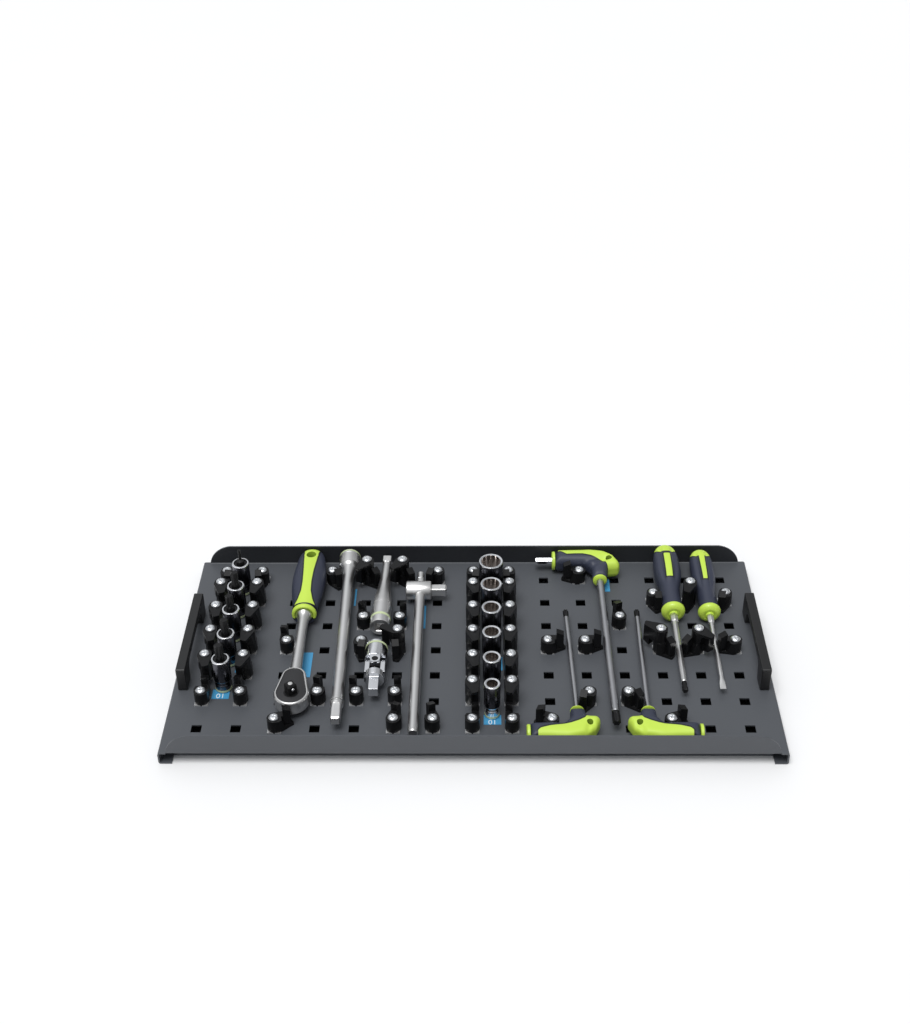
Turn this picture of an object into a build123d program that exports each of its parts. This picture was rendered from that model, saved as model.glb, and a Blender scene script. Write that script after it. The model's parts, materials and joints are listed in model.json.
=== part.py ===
from build123d import *
from math import cos, radians, sin, sqrt
import os

os.makedirs("parts", exist_ok=True)

# Driving dimensions of the perforated tray, all in millimetres.
pitch = 38.0
hole_side = 10.0
columns = 15
rows = 7
margin_x = 32.2
margin_y = 33.0
sheet = 1.5
bend_radius = 2.0
flange_height = 14.0
flange_return = 12.0
upstand_height = 22.5
upstand_inset = 8.0
upstand_corner = 30.0
rail_inset = 12.0
rail_foot = 11.0

# Bow handles at the two ends.
bow_length = 121.0
bow_height = 27.0
bow_width = 9.5
bow_bar = 8.0
bow_leg = 18.0
bow_flare = 5.0
bow_x = 287.5

# Clips: one moulding, used singly or as a pair with the upper one turned over.
clip_r = 7.0
clip_height = 14.5
clip_reach = 16.4
clip_tip = 18.6
clip_point = 2.0
clip_floor = 3.0
finger_start = 9.0
finger_top = 23.0
finger_slope = 3.0
post_sides = 12

# Sides of the turned pieces, whose sections are even polygons.
turned_sides = 16
round_sides = 24
pin_sides = 12
blade_sides = 10

# What tools and clips keep between each other.
rest_gap = 0.3
slide_gap = 0.05

# Square drive of the whole set, three eighths of an inch.
drive_side = 9.5
drive_length = 11.0

# Sockets and bit sockets, named by the size across the flats.
socket_sizes = (19, 16, 14, 13, 12, 10)
socket_grow = 1.08
socket_wall = 2.5
socket_foot_r = 8.6
socket_step = 13.0
socket_chamfer = 1.2
socket_top = 41.5
socket_mouth = 15.0
bit_sizes = (3.0, 7.5, 7.5, 7.5, 7.5)
bit_body_r = 9.0
bit_foot_r = 8.3
bit_body_top = 39.5
bit_shank = 8.0
bit_seat = 14.0
bit_shoulder = 4.0
bit_tip = 13.0

# Ratchet.
ratchet_x = -175.8
ratchet_back = 143.5
ratchet_half = 13.2
ratchet_stations = ((0, 8.5), (3, 12), (22, 15.6), (38, 17.4), (56, 17.4), (78, 15.2), (98, 12.9))
ratchet_flat = 0.75
ratchet_hole_r = 4.6
ratchet_hole_at = 10.0
collar_length = 7.0
ratchet_shank = ((0, 8.5), (8, 5.6), (25, 5.1), (78, 5.9), (99, 6.1))
ratchet_head_at = 229.0
ratchet_head_r = 17.2
ratchet_head_half = 8.3
ratchet_neck = 24.4
ratchet_neck_r = 12.3
pear_sides = 24
cover_thick = 1.6
cover_border = 2.6
drive_disc_r = 7.6
drive_disc = 3.0
drive_turn = 38.0
lever_thick = 3.2
lever_r = 8.0
lever_width = 7.0
lever_reach = 17.0
lever_pin_r = 3.0
lever_pin = 4.0

# Long and short extension, each as (distance from the back end, radius) with a square end.
long_extension_x = -134.5
long_extension_back = 138.5
long_extension_z = 13.8
long_extension_swing = 0.82
long_extension_length = 257.0
long_extension_r = 5.8
short_extension_x = -93.5
short_extension_back = 136.0
short_extension_swing = -1.2
female_r = 11.3
female_length = 18.0
cone_length = 18.0
square_length = 21.0
short_stations = ((11, 4.4), (34, 4.8), (50, 6.2), (62, 9.6), (72, 10.4), (116, 10.4))

# Universal joint: socket end, cross and drive end on two crossing pins.
joint_x = -97.0
joint_back = -11.0
joint_body = 20.5
joint_pin_at = 28.0
joint_ear = 4.6
joint_ear_r = 5.1
joint_ear_inner = 5.4
joint_pin_r = 3.2
joint_drive_body = 13.0
joint_drive_r = 10.0
joint_drive_flange = 8.0
joint_square = 18.0

# T-bar: rod with a sliding head.
tbar_x = -56.2
tbar_back = 109.0
tbar_length = 243.0
tbar_r = 5.2
tbar_z = 13.2
tbar_tip_r = 4.0
tbar_tip = 12.0
tbar_head_at = 28.0
tbar_head_r = 10.0
tbar_head_length = 26.5
tbar_head_left = -71.0
tbar_square = 16.5

# Keys with a one-sided handle: its outline from the neck, as (back from the neck, to the arm).
key_arm = 46.5
key_end = 20.0
key_back = 43.4
key_neck = 7.5
key_ring = 3.5
key_belly = ((-14.0, 8.0), (-22.8, 15.0))
key_spine = ((-43.9, 10.0), (-40.5, -7.0), (-33.0, -17.0), (-20.0, -23.0), (-14.0, -21.0), (-13.0, -9.5))
key_hole = (-25.5, -11.0)
key_hole_r = 3.2
stub_side = 7.0
stub_length = 18.0

# Screwdrivers: (distance from the back end, radius) of the grips.
driver_1_grip = ((0, 8), (8, 12), (24, 14.4), (48, 14.4), (62, 10.3), (82, 9.5), (96, 10.5))
driver_1_x = 208.0
driver_1_back = 144.6
driver_1_z = 17.0
driver_1_shank = 2.7
driver_1_tip = 216.0
driver_2_grip = ((0, 7.4), (8, 11.3), (20, 12.6), (47, 12.6), (62, 10), (80, 9.4), (90, 10))
driver_2_x = 245.5
driver_2_back = 138.4
driver_2_z = 15.8
driver_2_shank = 2.0
driver_2_tip = 205.6
driver_collar = 9.5
bolster_length = 11.0
bolster_r = 3.4
flat_tip = (6.0, 1.4, 9.0)
driver_dip = 2.1

# Sizes worked out from the driving dimensions.
tray_length = (columns - 1) * pitch + 2 * margin_x
tray_depth = (rows - 1) * pitch + 2 * margin_y
deck = flange_height
upstand_length = tray_length - 2 * upstand_inset
clip_base = deck
pair_top = clip_base + 2 * clip_height


def spot(column, row):
    """Centre of a hole, counted from the middle one: columns to the right, rows to the back."""
    return (column * pitch, row * pitch)


def lying(x, y, z, swing=0, dip=0):
    """Plane of a lying tool: local x runs from its back end to the front, swung right or dipping."""
    side, ahead = sin(radians(swing)), cos(radians(swing))
    drop, level = sin(radians(dip)), cos(radians(dip))
    run = (side * level, -ahead * level, -drop)
    up = (side * drop, -ahead * drop, level)
    return Plane(origin=(x, y, z), x_dir=run, z_dir=up)


def turned(plane, stations, sides=0, flat=1.0, mode=Mode.ADD):
    """Turned piece along a plane's local x, through (distance, radius), with even flat facets."""
    sides = sides or turned_sides
    steps = [radians((step + 0.5) * 360 / sides) for step in range(sides)]
    rings = []
    for along, r in stations:
        places = [Vector(along, r * cos(t), r * flat * sin(t)) for t in steps]
        rings.append([plane.from_local_coords(place) for place in places])
    faces = [Face(Wire.make_polygon(rings[0])), Face(Wire.make_polygon(rings[-1]))]
    for near, far in zip(rings, rings[1:]):
        for i in range(sides):
            corners = [near[i - 1], near[i], far[i], far[i - 1]]
            faces.append(Face(Wire.make_polygon(corners)))
    add(Solid(Shell(faces)), mode=mode)


def bar(plane, start, end, side, mode=Mode.ADD):
    """Square bar or square hole along a plane's local x, from one distance to another."""
    across = Plane(origin=plane.origin, x_dir=plane.y_dir, z_dir=plane.x_dir)
    with BuildSketch(across.offset(start)) as face:
        Rectangle(side, side)
    extrude(face.sketch, amount=end - start, mode=mode)


# One sheet: deck, two side flanges with inward returns, and an upstand along each long side.
with BuildPart() as tray_pan:
    side_x = tray_length / 2 - sheet / 2
    lip_x = side_x - flange_return
    with BuildSketch(Plane.XZ):
        with BuildLine():
            FilletPolyline(
                (-lip_x, sheet / 2),
                (-side_x, sheet / 2),
                (-side_x, deck - sheet / 2),
                (side_x, deck - sheet / 2),
                (side_x, sheet / 2),
                (lip_x, sheet / 2),
                radius=bend_radius,
            )
        trace(line_width=sheet)
    extrude(amount=tray_depth / 2, both=True)
    bend_strip = bend_radius + sheet
    wall_y = tray_depth / 2 - sheet / 2
    for side in (1, -1):
        with Locations((0, side * (tray_depth - bend_strip) / 2, deck - sheet / 2)):
            Box(upstand_length, bend_strip, sheet, mode=Mode.SUBTRACT)
        with BuildSketch(Plane.YZ) as bend_face:
            with BuildLine():
                FilletPolyline(
                    (side * (tray_depth / 2 - bend_strip), deck - sheet / 2),
                    (side * wall_y, deck - sheet / 2),
                    (side * wall_y, deck + upstand_height),
                    radius=bend_radius,
                )
            trace(line_width=sheet)
        extrude(amount=upstand_length / 2, both=True)
    for side in (1, -1):
        end, top = side * upstand_length / 2, deck + upstand_height
        with BuildSketch(Plane.XZ) as corner:
            with BuildLine():
                Polyline(
                    (end, deck + bend_radius),
                    (end + side, deck + bend_radius),
                    (end + side, top + 1),
                    (end - side * upstand_corner, top + 1),
                    (end - side * upstand_corner, top),
                )
                ThreePointArc(
                    (end - side * upstand_corner, top),
                    (end - side * upstand_corner * 0.3, top - upstand_height * 0.27),
                    (end, deck + bend_radius),
                )
            make_face()
        extrude(corner.sketch, amount=tray_depth / 2, both=True, mode=Mode.SUBTRACT)
    # Stiffening rails across the underside: a web up to the deck on an inward foot.
    rail_length = 2 * (lip_x - rest_gap)
    for side in (1, -1):
        rail_y = tray_depth / 2 - rail_inset
        with Locations((0, side * rail_y, (deck - sheet) / 2)):
            Box(rail_length, sheet, deck - sheet)
        with Locations((0, side * (rail_y - rail_foot / 2), sheet / 2)):
            Box(rail_length, rail_foot, sheet)
    with BuildSketch(Plane.XY.offset(deck)):
        with GridLocations(pitch, pitch, columns, rows):
            Rectangle(hole_side, hole_side)
    extrude(amount=-sheet, mode=Mode.SUBTRACT)
tray_pan.part.label = "tray_pan"
export_step(tray_pan.part, "parts/tray_pan.step")


def bow(x):
    """Bow handle lying along Y, its legs flaring into the flat bar."""
    foot_y = bow_length / 2 - bow_leg
    with BuildSketch(Plane.YZ.offset(x - bow_width / 2)) as side_view:
        with Locations((0, deck + bow_height / 2)):
            Rectangle(bow_length, bow_height)
        fillet(side_view.vertices().group_by(Axis.Z)[-1], radius=bow_bar / 4)
        with BuildLine():
            FilletPolyline(
                (-foot_y, deck - 1),
                (-foot_y + bow_flare, deck + bow_height - bow_bar),
                (foot_y - bow_flare, deck + bow_height - bow_bar),
                (foot_y, deck - 1),
                radius=bow_bar,
                close=False,
            )
            Line((-foot_y, deck - 1), (foot_y, deck - 1))
        make_face(mode=Mode.SUBTRACT)
    extrude(side_view.sketch, amount=bow_width)


with BuildPart() as handle_left:
    bow(-bow_x)
handle_left.part.label = "handle_left"
export_step(handle_left.part, "parts/handle_left.step")

with BuildPart() as handle_right:
    bow(bow_x)
handle_right.part.label = "handle_right"
export_step(handle_right.part, "parts/handle_right.step")

# The clip: a pointed base plate with a tall finger on one half and a low floor on the other.
with BuildPart() as clip:
    for start, side_view in (
        (
            0,
            (
                (0, 0),
                (0, clip_height),
                (finger_start, clip_height),
                (finger_start, finger_top),
                (clip_reach, finger_top - finger_slope),
                (clip_reach, clip_floor),
                (clip_tip, clip_floor),
                (clip_tip, 0),
            ),
        ),
        (
            clip_r,
            (
                (0, 0),
                (0, clip_height),
                (clip_r, clip_height),
                (clip_r + clip_floor, clip_floor),
                (clip_tip, clip_floor),
                (clip_tip, 0),
            ),
        ),
    ):
        with BuildSketch(Plane.XZ.offset(start)) as half:
            with BuildLine():
                Polyline(*side_view, close=True)
            make_face()
        extrude(half.sketch, amount=-clip_r)
    with BuildSketch() as plan:
        with BuildLine():
            Polyline(
                (0, -clip_r),
                (4, -clip_r),
                (clip_tip, clip_point / 2),
                (clip_tip, clip_point * 3 / 2),
                (clip_reach, clip_r),
                (0, clip_r),
                close=True,
            )
        make_face()
    extrude(plan.sketch, amount=finger_top, mode=Mode.INTERSECT)

hand_left = clip.part
hand_right = mirror(clip.part, about=Plane.XZ, mode=Mode.PRIVATE)


def post(place, level):
    """Round collar of a clip, which the screw goes through."""
    with BuildSketch(Plane.XY.offset(level)) as collar:
        with Locations(spot(*place)):
            RegularPolygon(clip_r, post_sides)
    extrude(collar.sketch, amount=clip_height)


def lower_clip(place, turn, hand=1):
    """Clip standing on its washer, the arm turned from +X and the finger on the left or right."""
    with Locations(Location((*spot(*place), clip_base), (0, 0, turn))):
        add(hand_left if hand > 0 else hand_right)
    post(place, clip_base)


def upper_clip(place, turn, hand=1):
    """Clip of a pair that is turned over, so that its arm is flush with the top."""
    with Locations(Location((*spot(*place), pair_top), (180, 0, -turn))):
        add(hand_left if hand < 0 else hand_right)
    post(place, clip_base + clip_height)


def clip_columns(left, right, first_row, last_row, splay):
    """Two facing columns of posts whose clips hold one upright piece in every gap between rows."""
    for row in range(first_row, last_row - 1, -1):
        for column, out in ((left, 1), (right, -1)):
            place = (column, row)
            if row < first_row:
                lower_clip(place, 90 - out * splay, -out)
            if row == first_row:
                lower_clip(place, 270 + out * splay, out)
            elif row > last_row:
                upper_clip(place, 270 + out * splay, out)


bit_columns = (-7, -6)
bit_rows = (3, -2)
socket_columns = (0, 1)
socket_rows = (3, -3)
column_splay = -4.0

# One node of clips for each group of tools, each group screwed to the deck.
with BuildPart() as bit_clips:
    clip_columns(*bit_columns, *bit_rows, column_splay)
bit_clips.part.label = "bit_clips"
export_step(bit_clips.part, "parts/bit_clips.step")

with BuildPart() as socket_clips:
    clip_columns(*socket_columns, *socket_rows, column_splay)
socket_clips.part.label = "socket_clips"
export_step(socket_clips.part, "parts/socket_clips.step")

with BuildPart() as ratchet_clips:
    lower_clip((-5, 0), 88)
    lower_clip((-4, -2), 75)
    lower_clip((-5, -3), 14)
ratchet_clips.part.label = "ratchet_clips"
export_step(ratchet_clips.part, "parts/ratchet_clips.step")

with BuildPart() as extension_clips:
    lower_clip((-4, 3), -72)
    lower_clip((-3, 3), -58)
    upper_clip((-3, 3), 250, -1)
    lower_clip((-2, 3), -63)
    upper_clip((-2, 3), 246, -1)
    lower_clip((-3, 1), 82)
    lower_clip((-2, 1), 92, -1)
    lower_clip((-3, 0), 262)
    lower_clip((-2, 0), 276, -1)
    upper_clip((-2, 0), 178, -1)
    lower_clip((-3, -2), 90)
    lower_clip((-2, -2), 96, -1)
extension_clips.part.label = "extension_clips"
export_step(extension_clips.part, "parts/extension_clips.step")

with BuildPart() as t_bar_clips:
    lower_clip((-1, 3), 246, -1)
    lower_clip((-2, -3), 64)
    lower_clip((-1, -3), 114, -1)
t_bar_clips.part.label = "t_bar_clips"
export_step(t_bar_clips.part, "parts/t_bar_clips.step")

with BuildPart() as key_clips:
    lower_clip((3, 3), 185, -1)
    lower_clip((4, 1), 112, -1)
    lower_clip((3, 0), 0)
    lower_clip((2, 0), 0)
    lower_clip((3, -2), 255, -1)
    lower_clip((2, -3), 160, -1)
    lower_clip((4, -2), -61)
    lower_clip((5, -3), 20)
key_clips.part.label = "key_clips"
export_step(key_clips.part, "parts/key_clips.step")

with BuildPart() as screwdriver_clips:
    lower_clip((5, 2), -88)
    lower_clip((6, 2), 265, -1)
    upper_clip((6, 2), 265, -1)
    lower_clip((7, 2), 262, -1)
    lower_clip((5, 0), -58)
    upper_clip((5, 0), 135, 1)
    lower_clip((6, 0), 222, -1)
    upper_clip((6, 0), -58, 1)
    lower_clip((7, 0), 198, -1)
screwdriver_clips.part.label = "screwdriver_clips"
export_step(screwdriver_clips.part, "parts/screwdriver_clips.step")

# Sockets stand upright in the gaps between the rows of the right-hand pair of columns.
def gap_centre(columns_pair, row):
    """Middle of the gap in front of a row, between two columns of posts."""
    x = (columns_pair[0] + columns_pair[1]) / 2 * pitch
    return (x, (row - 0.5) * pitch)


def upright_body(x, y, upper_r, lower_r, top_z):
    """Stepped body of a socket, standing just above the deck with its drive end down."""
    stand = Plane(origin=(x, y, deck + rest_gap), x_dir=(0, 0, 1), z_dir=(0, -1, 0))
    turned(
        stand,
        (
            (0, lower_r),
            (socket_step, lower_r),
            (socket_step + socket_chamfer, upper_r),
            (top_z, upper_r),
        ),
    )
    bar(stand, 0, drive_length, drive_side, Mode.SUBTRACT)


def twelve_points(x, y, across, top_z):
    """Twelve-point mouth: two hexagons turned by half a step, cut down from the top."""
    with BuildSketch(Plane.XY.offset(deck + rest_gap + top_z)) as mouth:
        for turn in (0, 30):
            with Locations(Location((x, y, 0), (0, 0, turn))):
                RegularPolygon(across / 2, 6, major_radius=False)
    extrude(mouth.sketch, amount=-socket_mouth, mode=Mode.SUBTRACT)


for number, across in enumerate(socket_sizes):
    x, y = gap_centre(socket_columns, socket_rows[0] - number)
    upper_r = across * socket_grow / 2 + socket_wall
    with BuildPart() as socket:
        upright_body(x, y, upper_r, min(upper_r - 0.6, socket_foot_r), socket_top)
        twelve_points(x, y, across, socket_top)
    socket.part.label = f"socket_{across}"
    export_step(socket.part, f"parts/socket_{across}.step")

# Bit sockets stand the same way, each with its dark bit pressed into a hexagon.
for number, thick in enumerate(bit_sizes):
    x, y = gap_centre(bit_columns, bit_rows[0] - number)
    with BuildPart() as holder:
        upright_body(x, y, bit_body_r, bit_foot_r, bit_body_top)
        with BuildSketch(Plane.XY.offset(deck + rest_gap + bit_body_top)) as seat:
            with Locations((x, y)):
                RegularPolygon(bit_shank / 2, 6, major_radius=False)
        extrude(seat.sketch, amount=-bit_seat, mode=Mode.SUBTRACT)
    holder.part.label = f"bit_socket_{number + 1}"
    export_step(holder.part, f"parts/bit_socket_{number + 1}.step")
    with BuildPart() as bit:
        with BuildSketch(Plane.XY.offset(deck + rest_gap + bit_body_top - bit_seat)) as shank:
            with Locations((x, y)):
                RegularPolygon(bit_shank / 2, 6, major_radius=False)
        extrude(shank.sketch, amount=bit_seat + bit_shoulder)
        with BuildSketch(Plane.XY.offset(deck + rest_gap + bit_body_top + bit_shoulder)) as tip:
            with Locations((x, y)):
                RegularPolygon(thick / 2, 6)
        extrude(tip.sketch, amount=bit_tip)
    bit.part.label = f"bit_{number + 1}"
    export_step(bit.part, f"parts/bit_{number + 1}.step")

# Ratchet: oval grip, collar, pear-shaped head with a cover, a turning drive and a lever below.
ratchet_z = deck + ratchet_half + rest_gap
ratchet_plane = lying(ratchet_x, ratchet_back, ratchet_z)
collar_start = ratchet_stations[-1][0]
head_y = ratchet_back - ratchet_head_at

with BuildPart() as ratchet_grip:
    turned(ratchet_plane, ratchet_stations, flat=ratchet_flat)
    with BuildSketch(Plane.XY.offset(deck)) as hanging_hole:
        with Locations((ratchet_x, ratchet_back - ratchet_hole_at)):
            RegularPolygon(ratchet_hole_r, pin_sides)
    extrude(hanging_hole.sketch, amount=2 * ratchet_half, mode=Mode.SUBTRACT)
ratchet_grip.part.label = "ratchet_grip"
export_step(ratchet_grip.part, "parts/ratchet_grip.step")

with BuildPart() as ratchet_collar:
    turned(
        ratchet_plane,
        (
            (collar_start, ratchet_half - 0.3),
            (collar_start + collar_length, ratchet_half - 0.9),
        ),
    )
ratchet_collar.part.label = "ratchet_collar"
export_step(ratchet_collar.part, "parts/ratchet_collar.step")


def pear(plane, inset):
    """Outline of the ratchet head: a large circle drawn out to the neck."""
    with BuildSketch(plane) as outline:
        with Locations((ratchet_x, head_y)):
            RegularPolygon(ratchet_head_r - inset, pear_sides)
        with Locations((ratchet_x, head_y + ratchet_neck)):
            RegularPolygon(ratchet_neck_r - inset, pear_sides)
        make_hull()
    return outline.sketch


head_top = ratchet_z + ratchet_head_half
head_bottom = ratchet_z - ratchet_head_half
with BuildPart() as ratchet_body:
    extrude(pear(Plane.XY.offset(head_bottom), 0), amount=2 * ratchet_head_half)
    shank_start = collar_start + collar_length
    turned(ratchet_plane, [(shank_start + along, r) for along, r in ratchet_shank])
    cover_floor = Plane.XY.offset(head_top - cover_thick)
    extrude(pear(cover_floor, cover_border), amount=cover_thick, mode=Mode.SUBTRACT)
    with BuildSketch(Plane.XY.offset(head_top - cover_thick)) as bore:
        with Locations((ratchet_x, head_y)):
            RegularPolygon(drive_disc_r + slide_gap, round_sides, major_radius=False)
    extrude(bore.sketch, amount=-drive_disc, mode=Mode.SUBTRACT)
    with BuildSketch(Plane.XY.offset(head_bottom)) as pivot:
        with Locations((ratchet_x, head_y)):
            RegularPolygon(lever_pin_r + slide_gap, pin_sides, major_radius=False)
    extrude(pivot.sketch, amount=lever_pin, mode=Mode.SUBTRACT)
ratchet_body.part.label = "ratchet_body"
export_step(ratchet_body.part, "parts/ratchet_body.step")

with BuildPart() as ratchet_cover:
    extrude(pear(cover_floor, cover_border), amount=cover_thick)
    with BuildSketch(cover_floor) as bore:
        with Locations((ratchet_x, head_y)):
            RegularPolygon(drive_disc_r + slide_gap, round_sides, major_radius=False)
    extrude(bore.sketch, amount=cover_thick, mode=Mode.SUBTRACT)
ratchet_cover.part.label = "ratchet_cover"
export_step(ratchet_cover.part, "parts/ratchet_cover.step")

with BuildPart() as ratchet_drive:
    with BuildSketch(Plane.XY.offset(head_top - cover_thick - drive_disc)):
        with Locations((ratchet_x, head_y)):
            RegularPolygon(drive_disc_r, round_sides)
    extrude(amount=drive_disc + cover_thick)
    with BuildSketch(Plane.XY.offset(head_top)):
        with Locations(Location((ratchet_x, head_y, 0), (0, 0, drive_turn))):
            Rectangle(drive_side, drive_side)
    extrude(amount=drive_length)
ratchet_drive.part.label = "ratchet_drive"
export_step(ratchet_drive.part, "parts/ratchet_drive.step")

with BuildPart() as ratchet_lever:
    with BuildSketch(Plane.XY.offset(head_bottom - lever_thick)):
        with Locations((ratchet_x, head_y)):
            RegularPolygon(lever_r, turned_sides)
        with Locations((ratchet_x, head_y + lever_reach / 2)):
            Rectangle(lever_width, lever_reach)
    extrude(amount=lever_thick)
    with BuildSketch(Plane.XY.offset(head_bottom)):
        with Locations((ratchet_x, head_y)):
            RegularPolygon(lever_pin_r, pin_sides)
    extrude(amount=lever_pin)
ratchet_lever.part.label = "ratchet_lever"
export_step(ratchet_lever.part, "parts/ratchet_lever.step")

# Extensions: a thick female end, a cone down to the shaft and a square end.
long_extension_plane = lying(
    long_extension_x, long_extension_back, deck + long_extension_z, long_extension_swing
)
with BuildPart() as long_extension:
    shaft_start = female_length + cone_length
    shaft_end = long_extension_length - square_length
    turned(
        long_extension_plane,
        (
            (0, female_r),
            (female_length, female_r),
            (female_length + 2, female_r - 2.5),
            (shaft_start, long_extension_r),
            (shaft_end, long_extension_r),
        ),
    )
    bar(long_extension_plane, shaft_end, long_extension_length, drive_side)
    bar(long_extension_plane, 0, drive_length, drive_side, Mode.SUBTRACT)
long_extension.part.label = "long_extension"
export_step(long_extension.part, "parts/long_extension.step")

# The short one lies the other way round, with its square end at the back.
short_extension_plane = lying(
    short_extension_x, short_extension_back, deck + long_extension_z, short_extension_swing
)
short_end = short_stations[-1][0]
with BuildPart() as short_extension:
    turned(short_extension_plane, short_stations)
    bar(short_extension_plane, 0, drive_length, drive_side)
    bar(short_extension_plane, short_end - drive_length, short_end, drive_side, Mode.SUBTRACT)
short_extension.part.label = "short_extension"
export_step(short_extension.part, "parts/short_extension.step")

# Universal joint: ears above and below on the socket end, ears left and right on the drive end.
joint_plane = lying(joint_x, joint_back, deck + long_extension_z)
joint_level = Plane(origin=joint_plane.origin, x_dir=(0, -1, 0), z_dir=(0, 0, 1))
joint_upright = Plane(origin=joint_plane.origin, x_dir=(0, -1, 0), z_dir=(-1, 0, 0))


def ears(plane, root):
    """Pair of ears about the pin centre on both sides of a plane, rounded round the pin."""
    for level in (joint_ear_inner, -joint_ear_inner - joint_ear):
        with BuildSketch(plane.offset(level)) as ear:
            with Locations((joint_pin_at, 0)):
                RegularPolygon(joint_ear_r, turned_sides)
            with Locations(((joint_pin_at + root) / 2, 0)):
                Rectangle(abs(joint_pin_at - root), 2 * joint_ear_r)
            with Locations((joint_pin_at, 0)):
                hole_r = joint_pin_r + slide_gap
                RegularPolygon(hole_r, pin_sides, major_radius=False, mode=Mode.SUBTRACT)
        extrude(ear.sketch, amount=joint_ear)


with BuildPart() as joint_socket:
    turned(
        joint_plane,
        ((0, female_r), (joint_body, female_r)),
    )
    bar(joint_plane, 0, drive_length, drive_side, Mode.SUBTRACT)
    ears(joint_level, joint_body - 1)
joint_socket.part.label = "joint_socket"
export_step(joint_socket.part, "parts/joint_socket.step")

with BuildPart() as joint_cross:
    with Locations(joint_plane.from_local_coords(Vector(joint_pin_at, 0, 0))):
        Box(*[2 * joint_ear_inner - 2 * rest_gap] * 3)
    for plane in (joint_level, joint_upright):
        with BuildSketch(plane) as pin:
            with Locations((joint_pin_at, 0)):
                RegularPolygon(joint_pin_r, pin_sides)
        extrude(pin.sketch, amount=joint_ear_inner + joint_ear, both=True)
joint_cross.part.label = "joint_cross"
export_step(joint_cross.part, "parts/joint_cross.step")

with BuildPart() as joint_drive:
    flange = joint_pin_at + joint_drive_body
    flange_end = flange + joint_drive_flange
    turned(
        joint_plane,
        ((flange, joint_drive_r), (flange_end, joint_drive_r)),
    )
    bar(joint_plane, flange_end, flange_end + joint_square, drive_side)
    ears(joint_upright, flange + 1)
joint_drive.part.label = "joint_drive"
export_step(joint_drive.part, "parts/joint_drive.step")

# T-bar: the rod runs through a head that lies across it.
tbar_plane = lying(tbar_x, tbar_back, deck + tbar_z)
tbar_across = Plane(
    origin=(tbar_head_left, tbar_back - tbar_head_at, deck + tbar_z),
    x_dir=(1, 0, 0),
    z_dir=(0, 0, 1),
)
with BuildPart() as tbar_rod:
    turned(
        tbar_plane,
        (
            (0, tbar_tip_r),
            (tbar_tip, tbar_tip_r),
            (tbar_tip, tbar_r),
            (tbar_length, tbar_r),
        ),
    )
tbar_rod.part.label = "tbar_rod"
export_step(tbar_rod.part, "parts/tbar_rod.step")

with BuildPart() as tbar_head:
    turned(
        tbar_across,
        ((0, tbar_head_r), (tbar_head_length, tbar_head_r)),
    )
    bar(tbar_across, tbar_head_length, tbar_head_length + tbar_square, drive_side)
    bore = tbar_r + slide_gap
    turned(
        tbar_plane,
        (
            (tbar_head_at - 2 * tbar_head_r, bore),
            (tbar_head_at + 2 * tbar_head_r, bore),
        ),
        mode=Mode.SUBTRACT,
    )
tbar_head.part.label = "tbar_head"
export_step(tbar_head.part, "parts/tbar_head.step")


# Keys: local x runs from the neck to the tip, the long arm lies on the side of local y.
def key_plane(x, y, z, ahead, hand, swing):
    """Plane at the neck of a key whose shank runs to the front or back, the arm left or right."""
    side = sin(radians(swing))
    return Plane(origin=(x, y, z), x_dir=(side, ahead * cos(radians(swing)), 0), z_dir=(0, 0, hand))


def key_grip(plane, size, thick):
    """Moulded handle: neck, belly, straight arm, curved back and heel, with a hanging hole."""
    outline_points = [
        (0, -key_neck),
        (0, key_neck),
        *key_belly,
        (key_end - key_back, key_arm),
        (-key_back, key_arm),
        *key_spine,
    ]
    with BuildSketch(plane) as outline:
        with BuildLine():
            Polyline(*[(back * size, out * size) for back, out in outline_points], close=True)
        make_face()
        with Locations((key_hole[0] * size, key_hole[1] * size)):
            RegularPolygon(key_hole_r * size, pin_sides, mode=Mode.SUBTRACT)
    extrude(outline.sketch, amount=thick, both=True)


def arm_end(plane, size):
    """Plane at the end of the arm, facing outwards."""
    middle = (key_end / 2 - key_back) * size
    origin = plane.from_local_coords(Vector(middle, key_arm * size, 0))
    return Plane(origin=origin, x_dir=plane.y_dir, z_dir=plane.z_dir)


def key_rings(plane, size):
    """Bright ring round the neck and another one at the end of the arm."""
    turned(
        plane,
        (
            (0, key_neck * size),
            (key_ring, key_neck * size * 0.8),
        ),
    )
    turned(arm_end(plane, size), ((0, key_end * size / 2), (key_ring, key_end * size / 2)))


def key_shank(plane, shank_r, reach, tip_r, tip):
    """Round shank with a dark tip, starting in front of the neck ring."""
    turned(
        plane,
        (
            (key_ring, shank_r),
            (reach - tip, shank_r),
            (reach - tip, tip_r),
            (reach, tip_r),
        ),
        blade_sides,
    )


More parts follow.
